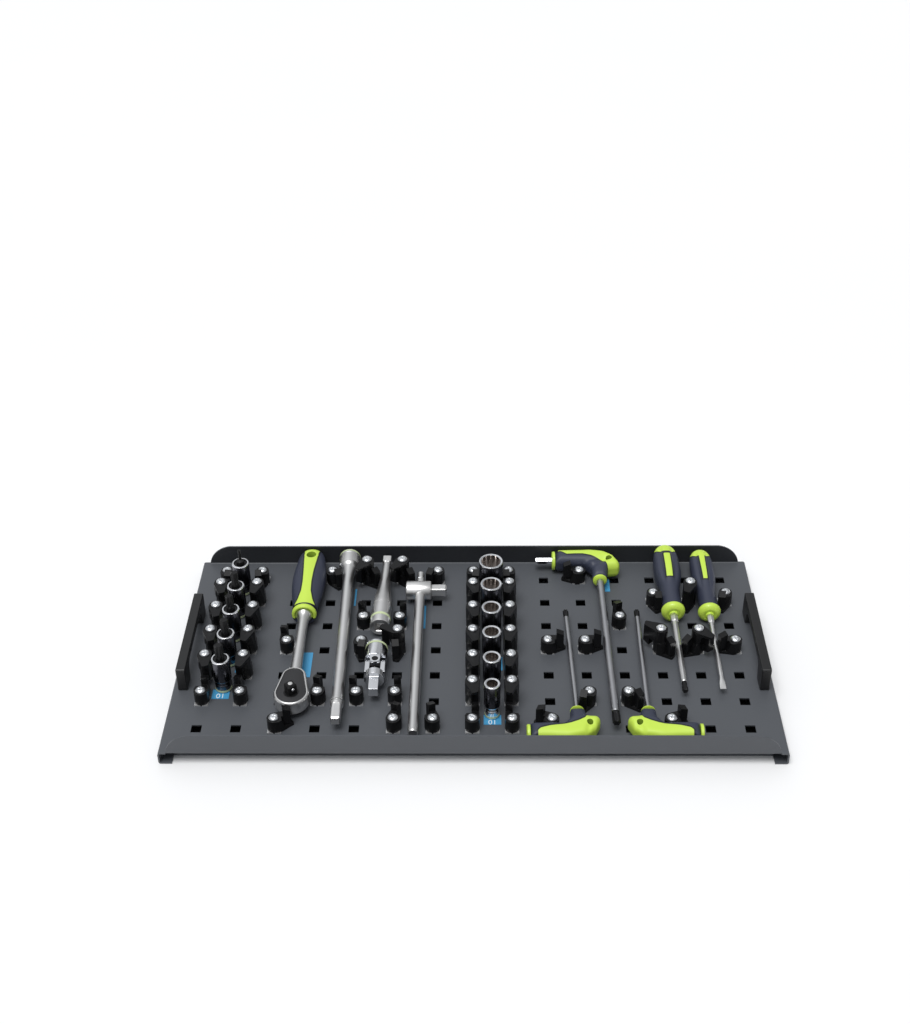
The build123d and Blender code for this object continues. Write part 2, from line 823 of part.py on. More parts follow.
keys = {
    "big_key": (key_plane(135.5, 100.0, deck + 12.3, -1, -1, 0.5), 1.0, 10.8, 4.0, 219.0, 3.6, 15.0),
    "key_1": (key_plane(100.6, -101.0, deck + 10.5, 1, 1, -1.6), 0.92, 9.9, 2.5, 151.0, 2.2, 11.0),
    "key_2": (key_plane(168.8, -101.0, deck + 10.5, 1, -1, 0.6), 0.92, 9.9, 2.5, 151.0, 2.2, 11.0),
}
for name, (plane, size, thick, shank_r, reach, tip_r, tip) in keys.items():
    with BuildPart() as grip:
        key_grip(plane, size, thick)
    grip.part.label = f"{name}_grip"
    export_step(grip.part, f"parts/{name}_grip.step")
    with BuildPart() as rings:
        key_rings(plane, size)
    rings.part.label = f"{name}_rings"
    export_step(rings.part, f"parts/{name}_rings.step")
    with BuildPart() as shank:
        key_shank(plane, shank_r, reach, tip_r, tip)
        if name == "big_key":
            stub_end = arm_end(plane, size)
            stub = ((key_ring, stub_side / sqrt(3)), (key_ring + stub_length, stub_side / sqrt(3)))
            turned(stub_end, stub, 6)
    shank.part.label = f"{name}_shank"
    export_step(shank.part, f"parts/{name}_shank.step")


# Screwdrivers: grip, bright collar and blade in one line, gently dipping to the front.
drivers = {
    "torx_driver": (
        lying(driver_1_x, driver_1_back, deck + driver_1_z, 0, driver_dip),
        driver_1_grip,
        driver_1_shank,
        driver_1_tip,
    ),
    "slot_driver": (
        lying(driver_2_x, driver_2_back, deck + driver_2_z, 0, driver_dip),
        driver_2_grip,
        driver_2_shank,
        driver_2_tip,
    ),
}
for name, (plane, stations, shank_r, tip_at) in drivers.items():
    grip_end = stations[-1][0]
    with BuildPart() as grip:
        turned(plane, stations)
    grip.part.label = f"{name}_grip"
    export_step(grip.part, f"parts/{name}_grip.step")
    with BuildPart() as collar:
        turned(
            plane,
            (
                (grip_end, stations[-1][1] + 1.2),
                (grip_end + driver_collar / 4, stations[-1][1] + 1.8),
                (grip_end + driver_collar / 2, stations[-1][1] + 1.8),
                (grip_end + driver_collar, shank_r + 2.8),
            ),
        )
    collar.part.label = f"{name}_collar"
    export_step(collar.part, f"parts/{name}_collar.step")
    with BuildPart() as blade:
        bolster_start = grip_end + driver_collar
        bolster_end = bolster_start + bolster_length
        turned(plane, ((bolster_start, bolster_r), (bolster_end, bolster_r)), 6)
        turned(plane, ((bolster_end, shank_r), (tip_at, shank_r)), blade_sides)
        if name == "slot_driver":
            wide, thick, long = flat_tip
            with Locations(plane):
                with Locations((tip_at - long / 2, 0, 0)):
                    Box(long, wide, thick)
    blade.part.label = f"{name}_blade"
    export_step(blade.part, f"parts/{name}_blade.step")
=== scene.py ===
import json
from math import cos, pi, radians, sin

import bmesh
import bpy
import numpy as np
from mathutils import Matrix, Vector


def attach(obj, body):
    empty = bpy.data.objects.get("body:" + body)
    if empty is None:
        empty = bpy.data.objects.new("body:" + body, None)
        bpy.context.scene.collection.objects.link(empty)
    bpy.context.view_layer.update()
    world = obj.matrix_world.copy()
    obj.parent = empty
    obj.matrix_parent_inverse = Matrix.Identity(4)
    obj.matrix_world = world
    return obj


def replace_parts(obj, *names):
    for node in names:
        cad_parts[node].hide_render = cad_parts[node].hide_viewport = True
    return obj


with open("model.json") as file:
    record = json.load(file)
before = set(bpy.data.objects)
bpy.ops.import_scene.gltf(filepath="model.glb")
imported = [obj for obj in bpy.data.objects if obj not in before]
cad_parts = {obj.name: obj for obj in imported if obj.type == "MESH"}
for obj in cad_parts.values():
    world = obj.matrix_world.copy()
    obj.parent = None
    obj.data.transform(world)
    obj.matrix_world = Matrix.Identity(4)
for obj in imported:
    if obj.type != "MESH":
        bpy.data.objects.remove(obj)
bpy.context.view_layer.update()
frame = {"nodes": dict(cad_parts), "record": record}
nodes = frame["nodes"]
body_of = {node: body for body, own in frame["record"]["behaviour"]["bodies"].items() for node in own}

# Sizes in millimetres, as the part's own.
MM = 0.001
DECK = 14.0  # deck above the feet
PITCH = 38.0  # from hole to hole
DRIVE = 4.75  # half a drive square
REST = 0.3  # gap under a piece that stands on the deck


# ---------------------------------------------------------------- materials
def add_node(tree, kind, values=(), **settings):
    """New shader node with its settings, and then the values of its inputs."""
    node = tree.nodes.new(f"ShaderNode{kind}")
    for label, value in settings.items():
        setattr(node, label, value)
    for label, value in dict(values).items():
        node.inputs[label].default_value = value
    return node


def new_group(name, inputs, outputs):
    """Empty shader node group with float or colour sockets."""
    group = bpy.data.node_groups.new(name, "ShaderNodeTree")
    for label, kind, value in inputs:
        socket = group.interface.new_socket(name=label, in_out="INPUT", socket_type=kind)
        socket.default_value = value
    for label, kind in outputs:
        group.interface.new_socket(name=label, in_out="OUTPUT", socket_type=kind)
    return group, group.nodes.new("NodeGroupInput"), group.nodes.new("NodeGroupOutput")


def make_surface_grain():
    """Fine grain and broad patches on Object coordinates: a height and a 0 to 1 mask."""
    group, given, out = new_group(
        "surface_grain",
        (("Fine scale", "NodeSocketFloat", 900.0), ("Broad scale", "NodeSocketFloat", 30.0)),
        (("Height", "NodeSocketFloat"), ("Patches", "NodeSocketFloat")),
    )
    place = add_node(group, "TexCoord")
    for label, source, detail in (("Height", "Fine scale", 2.0), ("Patches", "Broad scale", 4.0)):
        noise = add_node(group, "TexNoise", {"Detail": detail})
        group.links.new(place.outputs["Object"], noise.inputs["Vector"])
        group.links.new(given.outputs[source], noise.inputs["Scale"])
        group.links.new(noise.outputs["Fac"], out.inputs[label])
    return group


def make_turning_marks():
    """Fine rings across the front-to-back run, as a height, broken up by a little noise."""
    group, given, out = new_group(
        "turning_marks", (("Rings per metre", "NodeSocketFloat", 900.0),), (("Height", "NodeSocketFloat"),)
    )
    place = add_node(group, "TexCoord")
    wave = add_node(group, "TexWave", {"Distortion": 0.3, "Detail": 1.0}, bands_direction="Y")
    group.links.new(place.outputs["Object"], wave.inputs["Vector"])
    group.links.new(given.outputs["Rings per metre"], wave.inputs["Scale"])
    group.links.new(wave.outputs["Fac"], out.inputs["Height"])
    return group


def make_two_tone():
    """Two colours that meet in a dark groove where the distance attribute 'inlay' passes zero.

    Within BLEND millimetres of the seam the colours blend, and the groove fades out between its
    two GROOVE distances.
    """
    group, given, out = new_group(
        "two_tone",
        (("Grip", "NodeSocketColor", (0, 0, 0, 1)), ("Inlay", "NodeSocketColor", (1, 1, 1, 1))),
        (("Colour", "NodeSocketColor"), ("Seam", "NodeSocketFloat")),
    )
    reach = add_node(group, "Attribute", attribute_name="inlay")
    step = add_node(group, "MapRange", {"From Min": -BLEND, "From Max": BLEND})
    mix = add_node(group, "Mix", data_type="RGBA")
    away = add_node(group, "Math", operation="ABSOLUTE")
    seam = add_node(group, "MapRange", {"From Min": GROOVE[0], "From Max": GROOVE[1]})
    group.links.new(reach.outputs["Fac"], step.inputs["Value"])
    group.links.new(reach.outputs["Fac"], away.inputs[0])
    group.links.new(away.outputs["Value"], seam.inputs["Value"])
    group.links.new(step.outputs["Result"], mix.inputs["Factor"])
    group.links.new(given.outputs["Grip"], mix.inputs[6])
    group.links.new(given.outputs["Inlay"], mix.inputs[7])
    lined = add_node(group, "Mix", {6: GROOVE_DARK}, data_type="RGBA")
    group.links.new(seam.outputs["Result"], lined.inputs["Factor"])
    group.links.new(mix.outputs[2], lined.inputs[7])
    group.links.new(lined.outputs[2], out.inputs["Colour"])
    group.links.new(seam.outputs["Result"], out.inputs["Seam"])
    return group


BLEND, GROOVE, GROOVE_DARK = 0.15, (0.65, 1.05), (0.010, 0.012, 0.018, 1)
METAL_BUMP, PLASTIC_BUMP = 0.00015, 0.0004  # heights of the grain in metres
NAVY = (0.034, 0.040, 0.066, 1)
LIME = (0.560, 0.770, 0.085, 1)
surface_grain = make_surface_grain()
turning_marks = make_turning_marks()
two_tone = make_two_tone()


def finish(
    name, colour, roughness, metallic=0.0, fine=900.0, bump=0.05, spread=0.08, shade=0.12,
    broad=30.0, rings=0.0, coat=0.0, gloss=0.5, inlay=False,
):
    """Principled finish whose colour and roughness vary in broad patches, over a fine grain.

    Shade and spread say how far colour and roughness depart from their own value, fine and broad
    are the scales of the two patterns, rings puts turning marks in place of the grain's height,
    and inlay adds the bright second colour with its groove.
    """
    material = bpy.data.materials.new(name)
    material.use_nodes = True
    tree = material.node_tree
    shader = tree.nodes["Principled BSDF"]
    shader.inputs["Metallic"].default_value = metallic
    shader.inputs["Specular IOR Level"].default_value = gloss
    if coat:
        shader.inputs["Coat Weight"].default_value = coat
        shader.inputs["Coat Roughness"].default_value = 0.12
    grain = add_node(tree, "Group", node_tree=surface_grain)
    grain.inputs["Fine scale"].default_value = fine
    grain.inputs["Broad scale"].default_value = broad
    rough = add_node(tree, "MapRange", {"To Min": roughness - spread, "To Max": roughness + spread})
    tree.links.new(grain.outputs["Patches"], rough.inputs["Value"])
    tree.links.new(rough.outputs["Result"], shader.inputs["Roughness"])
    tone = add_node(tree, "Mix", data_type="RGBA")
    tone.inputs[6].default_value = (*[c * (1 - shade) for c in colour[:3]], 1)
    tone.inputs[7].default_value = (*[min(1.0, c * (1 + shade)) for c in colour[:3]], 1)
    tree.links.new(grain.outputs["Patches"], tone.inputs["Factor"])
    deep = METAL_BUMP if metallic else PLASTIC_BUMP
    lift = add_node(tree, "Bump", {"Strength": bump, "Distance": deep})
    height = grain.outputs["Height"]
    if rings:
        marks = add_node(tree, "Group", node_tree=turning_marks)
        marks.inputs["Rings per metre"].default_value = rings
        height = marks.outputs["Height"]
    colour_out = tone.outputs[2]
    if inlay:
        pair = add_node(tree, "Group", node_tree=two_tone)
        pair.inputs["Inlay"].default_value = LIME
        tree.links.new(tone.outputs[2], pair.inputs["Grip"])
        colour_out = pair.outputs["Colour"]
        depth = add_node(tree, "Math", {1: 0.15}, operation="MULTIPLY_ADD")
        tree.links.new(grain.outputs["Height"], depth.inputs[0])
        tree.links.new(pair.outputs["Seam"], depth.inputs[2])
        height = depth.outputs["Value"]
    tree.links.new(height, lift.inputs["Height"])
    tree.links.new(lift.outputs["Normal"], shader.inputs["Normal"])
    tree.links.new(colour_out, shader.inputs["Base Color"])
    return material


powder_coat = finish("powder_coat", (0.078, 0.084, 0.094, 1), 0.48, fine=1400, bump=0.10, shade=0.10, broad=7)
# A darker copy of the deck's coat: painted shade for the back upstand's front side.
upstand_painted_shade = finish(
    "upstand_painted_shade", (0.020, 0.022, 0.026, 1), 0.50, fine=1400, bump=0.10, shade=0.08, broad=9
)
clip_plastic = finish(
    "clip_plastic", (0.0045, 0.0045, 0.0050, 1), 0.34, fine=700, bump=0.05, shade=0.2, gloss=0.28
)
handle_plastic = finish("handle_plastic", (0.0075, 0.0075, 0.008, 1), 0.40, fine=900, bump=0.08, shade=0.2)
zinc = finish("zinc_plate", (0.78, 0.80, 0.82, 1), 0.36, metallic=1.0, fine=600, bump=0.02, spread=0.05)
bare_zinc = finish("washer_zinc", (0.74, 0.74, 0.74, 1), 0.45, metallic=1.0, fine=800, bump=0.03)
chrome = finish("chrome_plate", (0.78, 0.79, 0.81, 1), 0.16, metallic=1.0, spread=0.04, shade=0.05, bump=0.01)
satin = finish("satin_steel", (0.78, 0.775, 0.765, 1), 0.34, metallic=1.0, rings=1400, bump=0.03, shade=0.08)
shank_steel = finish("shank_steel", (0.46, 0.465, 0.48, 1), 0.36, metallic=1.0, rings=1800, bump=0.03)
black_oxide = finish("black_oxide", (0.016, 0.016, 0.017, 1), 0.42, metallic=0.6, fine=1600, bump=0.06)
# Copies of the chrome for the sockets: the dark outer wall is a painted reflection of the black clips around
# it, and the warm bore is a painted reflection inside the mouth.
socket_bore_painted_reflection = finish(
    "socket_bore_painted_reflection", (0.50, 0.47, 0.45, 1), 0.17, metallic=1.0, fine=1200, bump=0.03, spread=0.05
)
socket_wall_painted_reflection = finish("socket_wall_painted_reflection", (0.11, 0.11, 0.125, 1), 0.26, metallic=1.0, fine=1200, bump=0.02)
# Darker green for the walls of holes through the grips: painted shade.
hole_shade = finish("hole_shade", (0.30, 0.44, 0.045, 1), 0.60, fine=900, bump=0.05, gloss=0.2)
cover_black = finish("cover_black", (0.020, 0.020, 0.022, 1), 0.45, fine=1800, bump=0.10, shade=0.2)
navy_grip = finish("navy_grip", NAVY, 0.50, fine=1500, bump=0.10, shade=0.10, inlay=True)
lime_plastic = finish("lime_plastic", LIME, 0.38, fine=1500, bump=0.03, shade=0.04, coat=0.15)
size_band = finish("size_band", (0.56, 0.64, 0.38, 1), 0.42, fine=1500, bump=0.03)
label_blue = finish("label_blue", (0.060, 0.31, 0.56, 1), 0.40, fine=1500, bump=0.02, shade=0.05)
label_white = finish("label_white", (0.72, 0.80, 0.86, 1), 0.45, fine=1500, bump=0.02, shade=0.03)
pale_floor = finish("pale_floor", (0.91, 0.91, 0.91, 1), 0.85, fine=60, bump=0.0, shade=0.01, broad=2)


def paint_shade_below(material, half_x, half_y, fade):
    """Painted shade, black within a rectangle: the larger of |x| - half_x and |y| - half_y, faded below zero.
    """
    tree = material.node_tree
    place = add_node(tree, "TexCoord")
    split = add_node(tree, "SeparateXYZ")
    tree.links.new(place.outputs["Object"], split.inputs["Vector"])
    sides = []
    for label, half in (("X", half_x), ("Y", half_y)):
        size = add_node(tree, "Math", operation="ABSOLUTE")
        beyond = add_node(tree, "Math", {1: half * MM}, operation="SUBTRACT")
        tree.links.new(split.outputs[label], size.inputs[0])
        tree.links.new(size.outputs["Value"], beyond.inputs[0])
        sides.append(beyond.outputs["Value"])
    wider = add_node(tree, "Math", operation="MAXIMUM")
    cover = add_node(tree, "MapRange", {"From Min": -fade * MM, "From Max": 0.0})
    mix = add_node(tree, "Mix", {6: SHADE_BELOW}, data_type="RGBA")
    shader = tree.nodes["Principled BSDF"]
    tree.links.new(sides[0], wider.inputs[0])
    tree.links.new(sides[1], wider.inputs[1])
    tree.links.new(wider.outputs["Value"], cover.inputs["Value"])
    tree.links.new(cover.outputs["Result"], mix.inputs["Factor"])
    tree.links.new(shader.inputs["Base Color"].links[0].from_socket, mix.inputs[7])
    tree.links.new(mix.outputs[2], shader.inputs["Base Color"])


# Painted shade: the floor is black where the tray covers it, so that the tray's holes look black.
SHADE_BELOW = (0.004, 0.004, 0.004, 1)
paint_shade_below(pale_floor, 286.0, 136.0, 6.0)


# ---------------------------------------------------------------- mesh helpers
def link(name, data):
    """New object of the scene that shows a mesh, curve, light or camera."""
    made = bpy.data.objects.new(name, data)
    bpy.context.collection.objects.link(made)
    return made


def shown_mesh(piece):
    """New mesh of a piece or curve as it looks with its modifiers."""
    bpy.context.view_layer.update()
    return bpy.data.meshes.new_from_object(piece.evaluated_get(bpy.context.evaluated_depsgraph_get()))


def weld(mesh, near, flats=False, outwards=False):
    """Merges corners closer than near, and if asked joins flat faces or turns faces outwards."""
    work = bmesh.new()
    work.from_mesh(mesh)
    bmesh.ops.remove_doubles(work, verts=work.verts, dist=near * MM)
    if flats:
        bmesh.ops.dissolve_limit(work, angle_limit=radians(1), verts=work.verts, edges=work.edges)
    if outwards:
        bmesh.ops.recalc_face_normals(work, faces=work.faces)
    work.to_mesh(mesh)
    work.free()


def new_piece(name, mesh, material, body, smooth=None):
    """Piece at the origin with one material, riding on a body, smooth up to an angle if given."""
    if smooth is not None:
        mesh.shade_smooth()
        mesh.set_sharp_from_angle(angle=radians(smooth))
    mesh.materials.clear()
    mesh.materials.append(material)
    piece = link(name, mesh)
    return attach(piece, body)


def raise_mesh(name, vertices, faces, material, body, smooth=35):
    """Piece from points in millimetres and faces, welded and facing outwards."""
    mesh = bpy.data.meshes.new(name)
    mesh.from_pydata(np.asarray(vertices).reshape(-1, 3) * MM, [], np.asarray(faces).tolist())
    weld(mesh, 0.02, outwards=True)
    return new_piece(name, mesh, material, body, smooth)


def places_of(mesh):
    """Places of a mesh's vertices in millimetres, one row each."""
    flat = np.empty(len(mesh.vertices) * 3)
    mesh.vertices.foreach_get("co", flat)
    return flat.reshape(-1, 3) / MM


def move_to(mesh, places):
    """Moves a mesh's vertices to places in millimetres."""
    mesh.vertices.foreach_set("co", (places * MM).ravel())


def grid_faces(rows, columns, start=0):
    """Four-cornered faces of a grid that closes on itself round its columns."""
    row, column = np.meshgrid(np.arange(rows - 1), np.arange(columns), indexing="ij")
    after = (column + 1) % columns
    corners = (row * columns + column, row * columns + after)
    above = ((row + 1) * columns + after, (row + 1) * columns + column)
    return np.stack((*corners, *above), axis=-1).reshape(-1, 4) + start


def lying(x, y, z, swing=0.0, dip=0.0, ahead=-1.0):
    """Origin, run and up of a tool that points to the front (or back), swung right or dipping."""
    side, level = sin(radians(swing)), cos(radians(dip))
    run = Vector((side * level, ahead * cos(radians(swing)) * level, -sin(radians(dip))))
    up = Vector((0, 0, 1)) - run * run.z
    return np.array((x, y, DECK + z)), np.array(run), np.array(up.normalized())


UP, BACK, TO_RIGHT = np.array((0.0, 0.0, 1.0)), np.array((0.0, 1.0, 0.0)), np.array((1.0, 0.0, 0.0))


def standing(x, y):
    """Origin, run and up of an upright piece on the deck."""
    return np.array((x, y, DECK + REST)), UP, BACK


def polygon_reach(angle, sides):
    """Reach of a regular polygon of inner radius 1: one over the cosine from the nearest flat."""
    step = 2 * pi / sides
    return 1 / np.cos((angle + step / 2) % step - step / 2)


SECTION = {
    "round": lambda angle: np.ones_like(angle),
    "square": lambda angle: np.minimum(polygon_reach(angle, 4), 1.30),
    "hexagon": lambda angle: np.minimum(polygon_reach(angle, 6), 1.13),
    "twelve": lambda angle: np.maximum(polygon_reach(angle, 6), polygon_reach(angle + pi / 6, 6)),
    "star": lambda angle: 1 + 0.13 * np.cos(6 * angle),
}


def turned_grid(axis, rows, columns=96):
    """Rows (distance, radius, section, flatness) round an axis, as a grid of points.

    A point is origin + distance * run + radius * reach(angle) * (cos side + flatness * sin up).
    """
    origin, run, up = axis
    side = np.cross(up, run)
    angle = np.linspace(0, 2 * pi, columns, endpoint=False)
    points = []
    for distance, radius, *more in rows:
        section = more[0] if more else "round"
        flatness = more[1] if len(more) > 1 else 1.0
        reach = radius * SECTION[section](angle)
        across = np.outer(reach * np.cos(angle), side)
        upward = np.outer(reach * np.sin(angle) * flatness, up)
        points.append(origin + distance * run + across + upward)
    return np.array(points)


def local(piece, axis):
    """Distance along, across and above an axis of each vertex of a piece, in millimetres."""
    places = places_of(piece.data) - axis[0]
    side = np.cross(axis[2], axis[1])
    return places @ axis[1], places @ side, places @ axis[2]


SLACK = 0.01


def turned(name, axis, rows, material, body, *stands_for, columns=96, smooth=35, bands=()):
    """Turned piece through rows of (distance, radius, section, flatness), closed at both ends.

    Each band (material, from, to, within, beyond) gives another material to the faces that lie
    between two distances and between two radii.
    """
    points = turned_grid(axis, rows, columns)
    piece = raise_mesh(name, points, grid_faces(len(rows), columns), material, body, smooth)
    if bands:
        along, across, above = local(piece, axis)
        reach = np.hypot(across, above)
        corner = np.empty(len(piece.data.loops), int)
        piece.data.loops.foreach_get("vertex_index", corner)
        start = np.empty(len(piece.data.polygons), int)
        piece.data.polygons.foreach_get("loop_start", start)
        low, high = (f.reduceat(along[corner], start) for f in (np.minimum, np.maximum))
        near, far = (f.reduceat(reach[corner], start) for f in (np.minimum, np.maximum))
        chosen = np.zeros(len(start), np.int32)
        for number, (second, first, last, within, beyond) in enumerate(bands):
            piece.data.materials.append(second)
            between = (low > first - SLACK) & (high < last + SLACK)
            chosen[between & (far < within + SLACK) & (near > beyond - SLACK)] = number + 1
        piece.data.polygons.foreach_set("material_index", chosen)
    if stands_for:
        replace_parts(piece, *stands_for)
    return piece


def size_ring(name, axis, body, start, end, radius, rise=0.1):
    """Pale ring that stands out of a tool by its rise, between two distances, closed all round."""
    rows = [(start, radius), (start, radius + rise), (end, radius + rise), (end, radius), (start, radius)]
    return turned(name, axis, rows, size_band, body, columns=64)


def smooth_line(stations, count=48):
    """Smooth curve through (distance, radius) stations, sampled evenly along the distance.

    With t the share of a span, it is the cubic that takes both ends' radii and slopes, and a
    station's slope is the mean one of its two spans.
    """
    known = np.array(stations, float)
    slope = np.gradient(known[:, 1], known[:, 0])
    along = np.linspace(known[0, 0], known[-1, 0], count)
    k = np.clip(np.searchsorted(known[:, 0], along) - 1, 0, len(known) - 2)
    span = known[k + 1, 0] - known[k, 0]
    t = (along - known[k, 0]) / span
    near = (1 + 2 * t) * (1 - t) ** 2 * known[k, 1] + t * (1 - t) ** 2 * span * slope[k]
    far = t * t * (3 - 2 * t) * known[k + 1, 1] + t * t * (t - 1) * span * slope[k + 1]
    return list(zip(along, near + far))


def dressed(node, material, bevel=0.5, segments=2, smooth=32):
    """Copy of a CAD node with welded corners and rounded edges, which stands for the node."""
    mesh = nodes[node].data.copy()
    mesh.name = f"{node}_skin"
    weld(mesh, 0.01, flats=True)
    piece = new_piece(f"{node}_skin", mesh, material, body_of[node], smooth)
    if bevel:
        edge = piece.modifiers.new("rounded edges", "BEVEL")
        edge.width = bevel * MM
        edge.segments = segments
        edge.limit_method = "ANGLE"
        edge.angle_limit = radians(smooth)
        edge.harden_normals = True
    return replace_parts(piece, node)


# ---------------------------------------------------------------- tray, handles and clips
tray = dressed("tray_pan", powder_coat, bevel=0.25)
tray.data.materials.append(upstand_painted_shade)
# Painted shade: the back upstand's front side gets a darker copy of the deck's coat, so that it looks darker
# than the deck.
for face in tray.data.polygons:
    if face.normal.y < -0.9 and face.center.y > 0.13 and face.center.z > DECK * MM:
        face.material_index = 1
for end in ("left", "right"):
    dressed(f"handle_{end}", handle_plastic, bevel=0.9, segments=3)
COLLAR_R = 7.0
clip_nodes = [node for node in nodes if node.endswith("_clips")]
for node in clip_nodes:
    dressed(node, clip_plastic, bevel=0.45)


def post_tops():
    """Each post's centre and top, found from the collar corners round a hole centre."""
    found = []
    corners = np.concatenate([places_of(nodes[node].data) for node in clip_nodes])
    for column in range(-7, 8):
        for row in range(-3, 4):
            centre = np.array((column * PITCH, row * PITCH))
            reach = np.hypot(*(corners[:, :2] - centre).T)
            own = corners[np.abs(reach - COLLAR_R) < 0.02, 2]
            if len(own) > 6:
                found.append((*centre, own.max()))
    return np.array(found)


posts = post_tops()
SCREW_R, SCREW_RISE, SCREW_SUNK = 4.9, 3.0, 0.1
CROSS_HALF, CROSS_REACH, CROSS_DEPTH = 0.75, 3.1, 0.45


def screw_heads(columns=32):
    """Domed heads on a polar grid, one on each post, each with its cross at another angle.

    With s the share of the radius, height is SCREW_RISE * (1 - 0.62 * s to the power of 4), less
    the cross within CROSS_HALF of either axis, which gets shallower outwards.
    """
    angle = np.linspace(0, 2 * pi, columns, endpoint=False)
    share = np.array((0.0, 0.16, 0.3, 0.45, 0.6, 0.75, 0.88, 0.96, 1.0, 1.0, 0.0))
    radius = np.outer(share * SCREW_R, np.ones(columns))
    height = SCREW_RISE * (1 - share**4 * 0.62)
    height[-2:] = 0.0
    height = np.outer(height, np.ones(columns))
    x, y = radius * np.cos(angle), radius * np.sin(angle)
    cross = (np.minimum(np.abs(x), np.abs(y)) < CROSS_HALF) & (radius < CROSS_REACH) & (height > 0)
    height = height - cross * CROSS_DEPTH * (1 - radius / 6.0)
    one = np.stack((x, y, height), axis=-1)
    faces = grid_faces(len(share), columns)
    turn = np.linspace(0.2, 5.0, len(posts))
    grids, quads = [], []
    for number, ((post_x, post_y, top), a) in enumerate(zip(posts, turn)):
        spun = one @ np.array(((cos(a), sin(a), 0), (-sin(a), cos(a), 0), (0, 0, 1)))
        grids.append(spun + (post_x, post_y, top - SCREW_SUNK))
        quads.append(faces + number * len(share) * columns)
    return np.array(grids), np.concatenate(quads)


raise_mesh("clip_screws", *screw_heads(), zinc, "tray", smooth=30)


def plates(name, places, sides, thick, level, material):
    """Flat rectangular plates that lie on the deck: a centre plus and minus half of each side."""
    corner = np.array([(-1, -1), (1, -1), (1, 1), (-1, 1)]) / 2
    walls = [(i, (i + 1) % 4, (i + 1) % 4 + 4, i + 4) for i in range(4)]
    box = np.array([(3, 2, 1, 0), (4, 5, 6, 7), *walls])
    vertices = []
    for place, side in zip(places, sides):
        for z in (level, level + thick):
            vertices.append(np.column_stack((corner * side + place, np.full(4, z))))
    faces = np.concatenate([box + number * 8 for number in range(len(places))])
    return raise_mesh(name, np.concatenate(vertices), faces, material, "tray", smooth=20)


WASHER, WASHER_THICK = 13.6, 0.9
plates("post_washers", posts[:, :2], [(WASHER, WASHER)] * len(posts), WASHER_THICK, DECK + 0.02, bare_zinc)


# ---------------------------------------------------------------- sockets and bits
def upright_rows(upper, lower, top, mouth, section, mouth_depth):
    """Profile of a socket from the drive square round the outside and down into the mouth.

    Upper and lower are the outer radii, and the lip slopes from the rim to the mouth.
    """
    rim, lip = 1.7, (top - 1.4, upper - 2.0)
    if section == "twelve":
        rim, lip = max(0.5, (upper - mouth * 1.12) * 0.45), (top - 0.5, mouth * 1.06 + 0.2)
    rows = [(11.0, 0.01), (11.0, DRIVE - 0.2, "square"), (0.6, DRIVE, "square"), (0.0, DRIVE + 0.5, "square")]
    rows += [(0.0, lower - 0.9), (0.25, lower - 0.35), (0.9, lower), (9.5, lower), (9.8, lower - 0.25)]
    rows += [(10.4, lower - 0.25), (10.7, lower), (12.9, lower), (13.2, lower + 0.05)]
    rows += [(14.1, upper - 0.35), (14.6, upper), (top - 1.0, upper), (top - 0.3, upper - 0.3)]
    rows += [(top, upper - 0.9), (top, upper - rim), lip, (top - 1.6, mouth, section)]
    return rows + [(top - mouth_depth, mouth, section), (top - mouth_depth, 0.01)]


SOCKET_TOP, SOCKET_BORE = 41.5, 15.0
SOCKET_SIZES = (19, 16, 14, 13, 12, 10)
FOOT_RING = (1.4, 3.6)
ANY_REACH = 99.0  # a radius beyond every socket's, so that a band takes all of its outside
for number, size in enumerate(SOCKET_SIZES):
    place = standing(0.5 * PITCH, (2.5 - number) * PITCH)
    upper = size * 1.08 / 2 + 2.5
    lower = min(upper - 0.6, 8.6)
    rows = upright_rows(upper, lower, SOCKET_TOP, size / 2, "twelve", SOCKET_BORE)
    node = f"socket_{size}"
    # The outside is chrome painted dark as a reflection, and the bore chrome painted warm as a reflection.
    wall = (socket_wall_painted_reflection, 0.0, SOCKET_TOP - 1.0, ANY_REACH, 7.4)
    bore = (socket_bore_painted_reflection, SOCKET_TOP - SOCKET_BORE, SOCKET_TOP, size / 2 * 1.17, 0.0)
    turned(f"{node}_skin", place, rows, chrome, node, node, columns=144, smooth=30, bands=(wall, bore))
    size_ring(f"{node}_band", place, node, *FOOT_RING, lower + 0.02)

BIT_TOP, BIT_HEX = 39.5, 3.9
BIT_RADII = (1.5, 3.4, 3.6, 3.8, 4.0)
for number, reach in enumerate(BIT_RADII):
    place = standing(-6.5 * PITCH, (2.5 - number) * PITCH)
    body, node = f"bit_set_{number + 1}", f"bit_socket_{number + 1}"
    rows = upright_rows(9.0, 8.3, BIT_TOP, 4.0, "hexagon", 3.0)
    # The outside is chrome painted dark as a reflection of the clips.
    wall = (socket_wall_painted_reflection, 0.0, BIT_TOP - 1.0, ANY_REACH, 8.0)
    bore = (black_oxide, BIT_TOP - 3.2, BIT_TOP, 7.35, 0.0)
    turned(f"{node}_skin", place, rows, chrome, body, node, smooth=30, bands=(wall, bore))
    size_ring(f"{node}_band", place, body, *FOOT_RING, 8.32)
    # The first bit is thin and round, the others are stars and hexagons by turns.
    section = "round" if number == 0 else ("star", "hexagon")[number % 2]
    low = BIT_TOP - 2.9
    bit = [
        (low, 0.01),
        (low, BIT_HEX, "hexagon"),
        (BIT_TOP + 3.0, BIT_HEX, "hexagon"),
        (BIT_TOP + 4.4, reach, section),
        (BIT_TOP + 16.0, reach, section),
        (BIT_TOP + 17.0, reach - 0.6, section),
        (BIT_TOP + 17.0, 0.01),
    ]
    turned(f"bit_{number + 1}_skin", place, bit, black_oxide, body, f"bit_{number + 1}", columns=72)


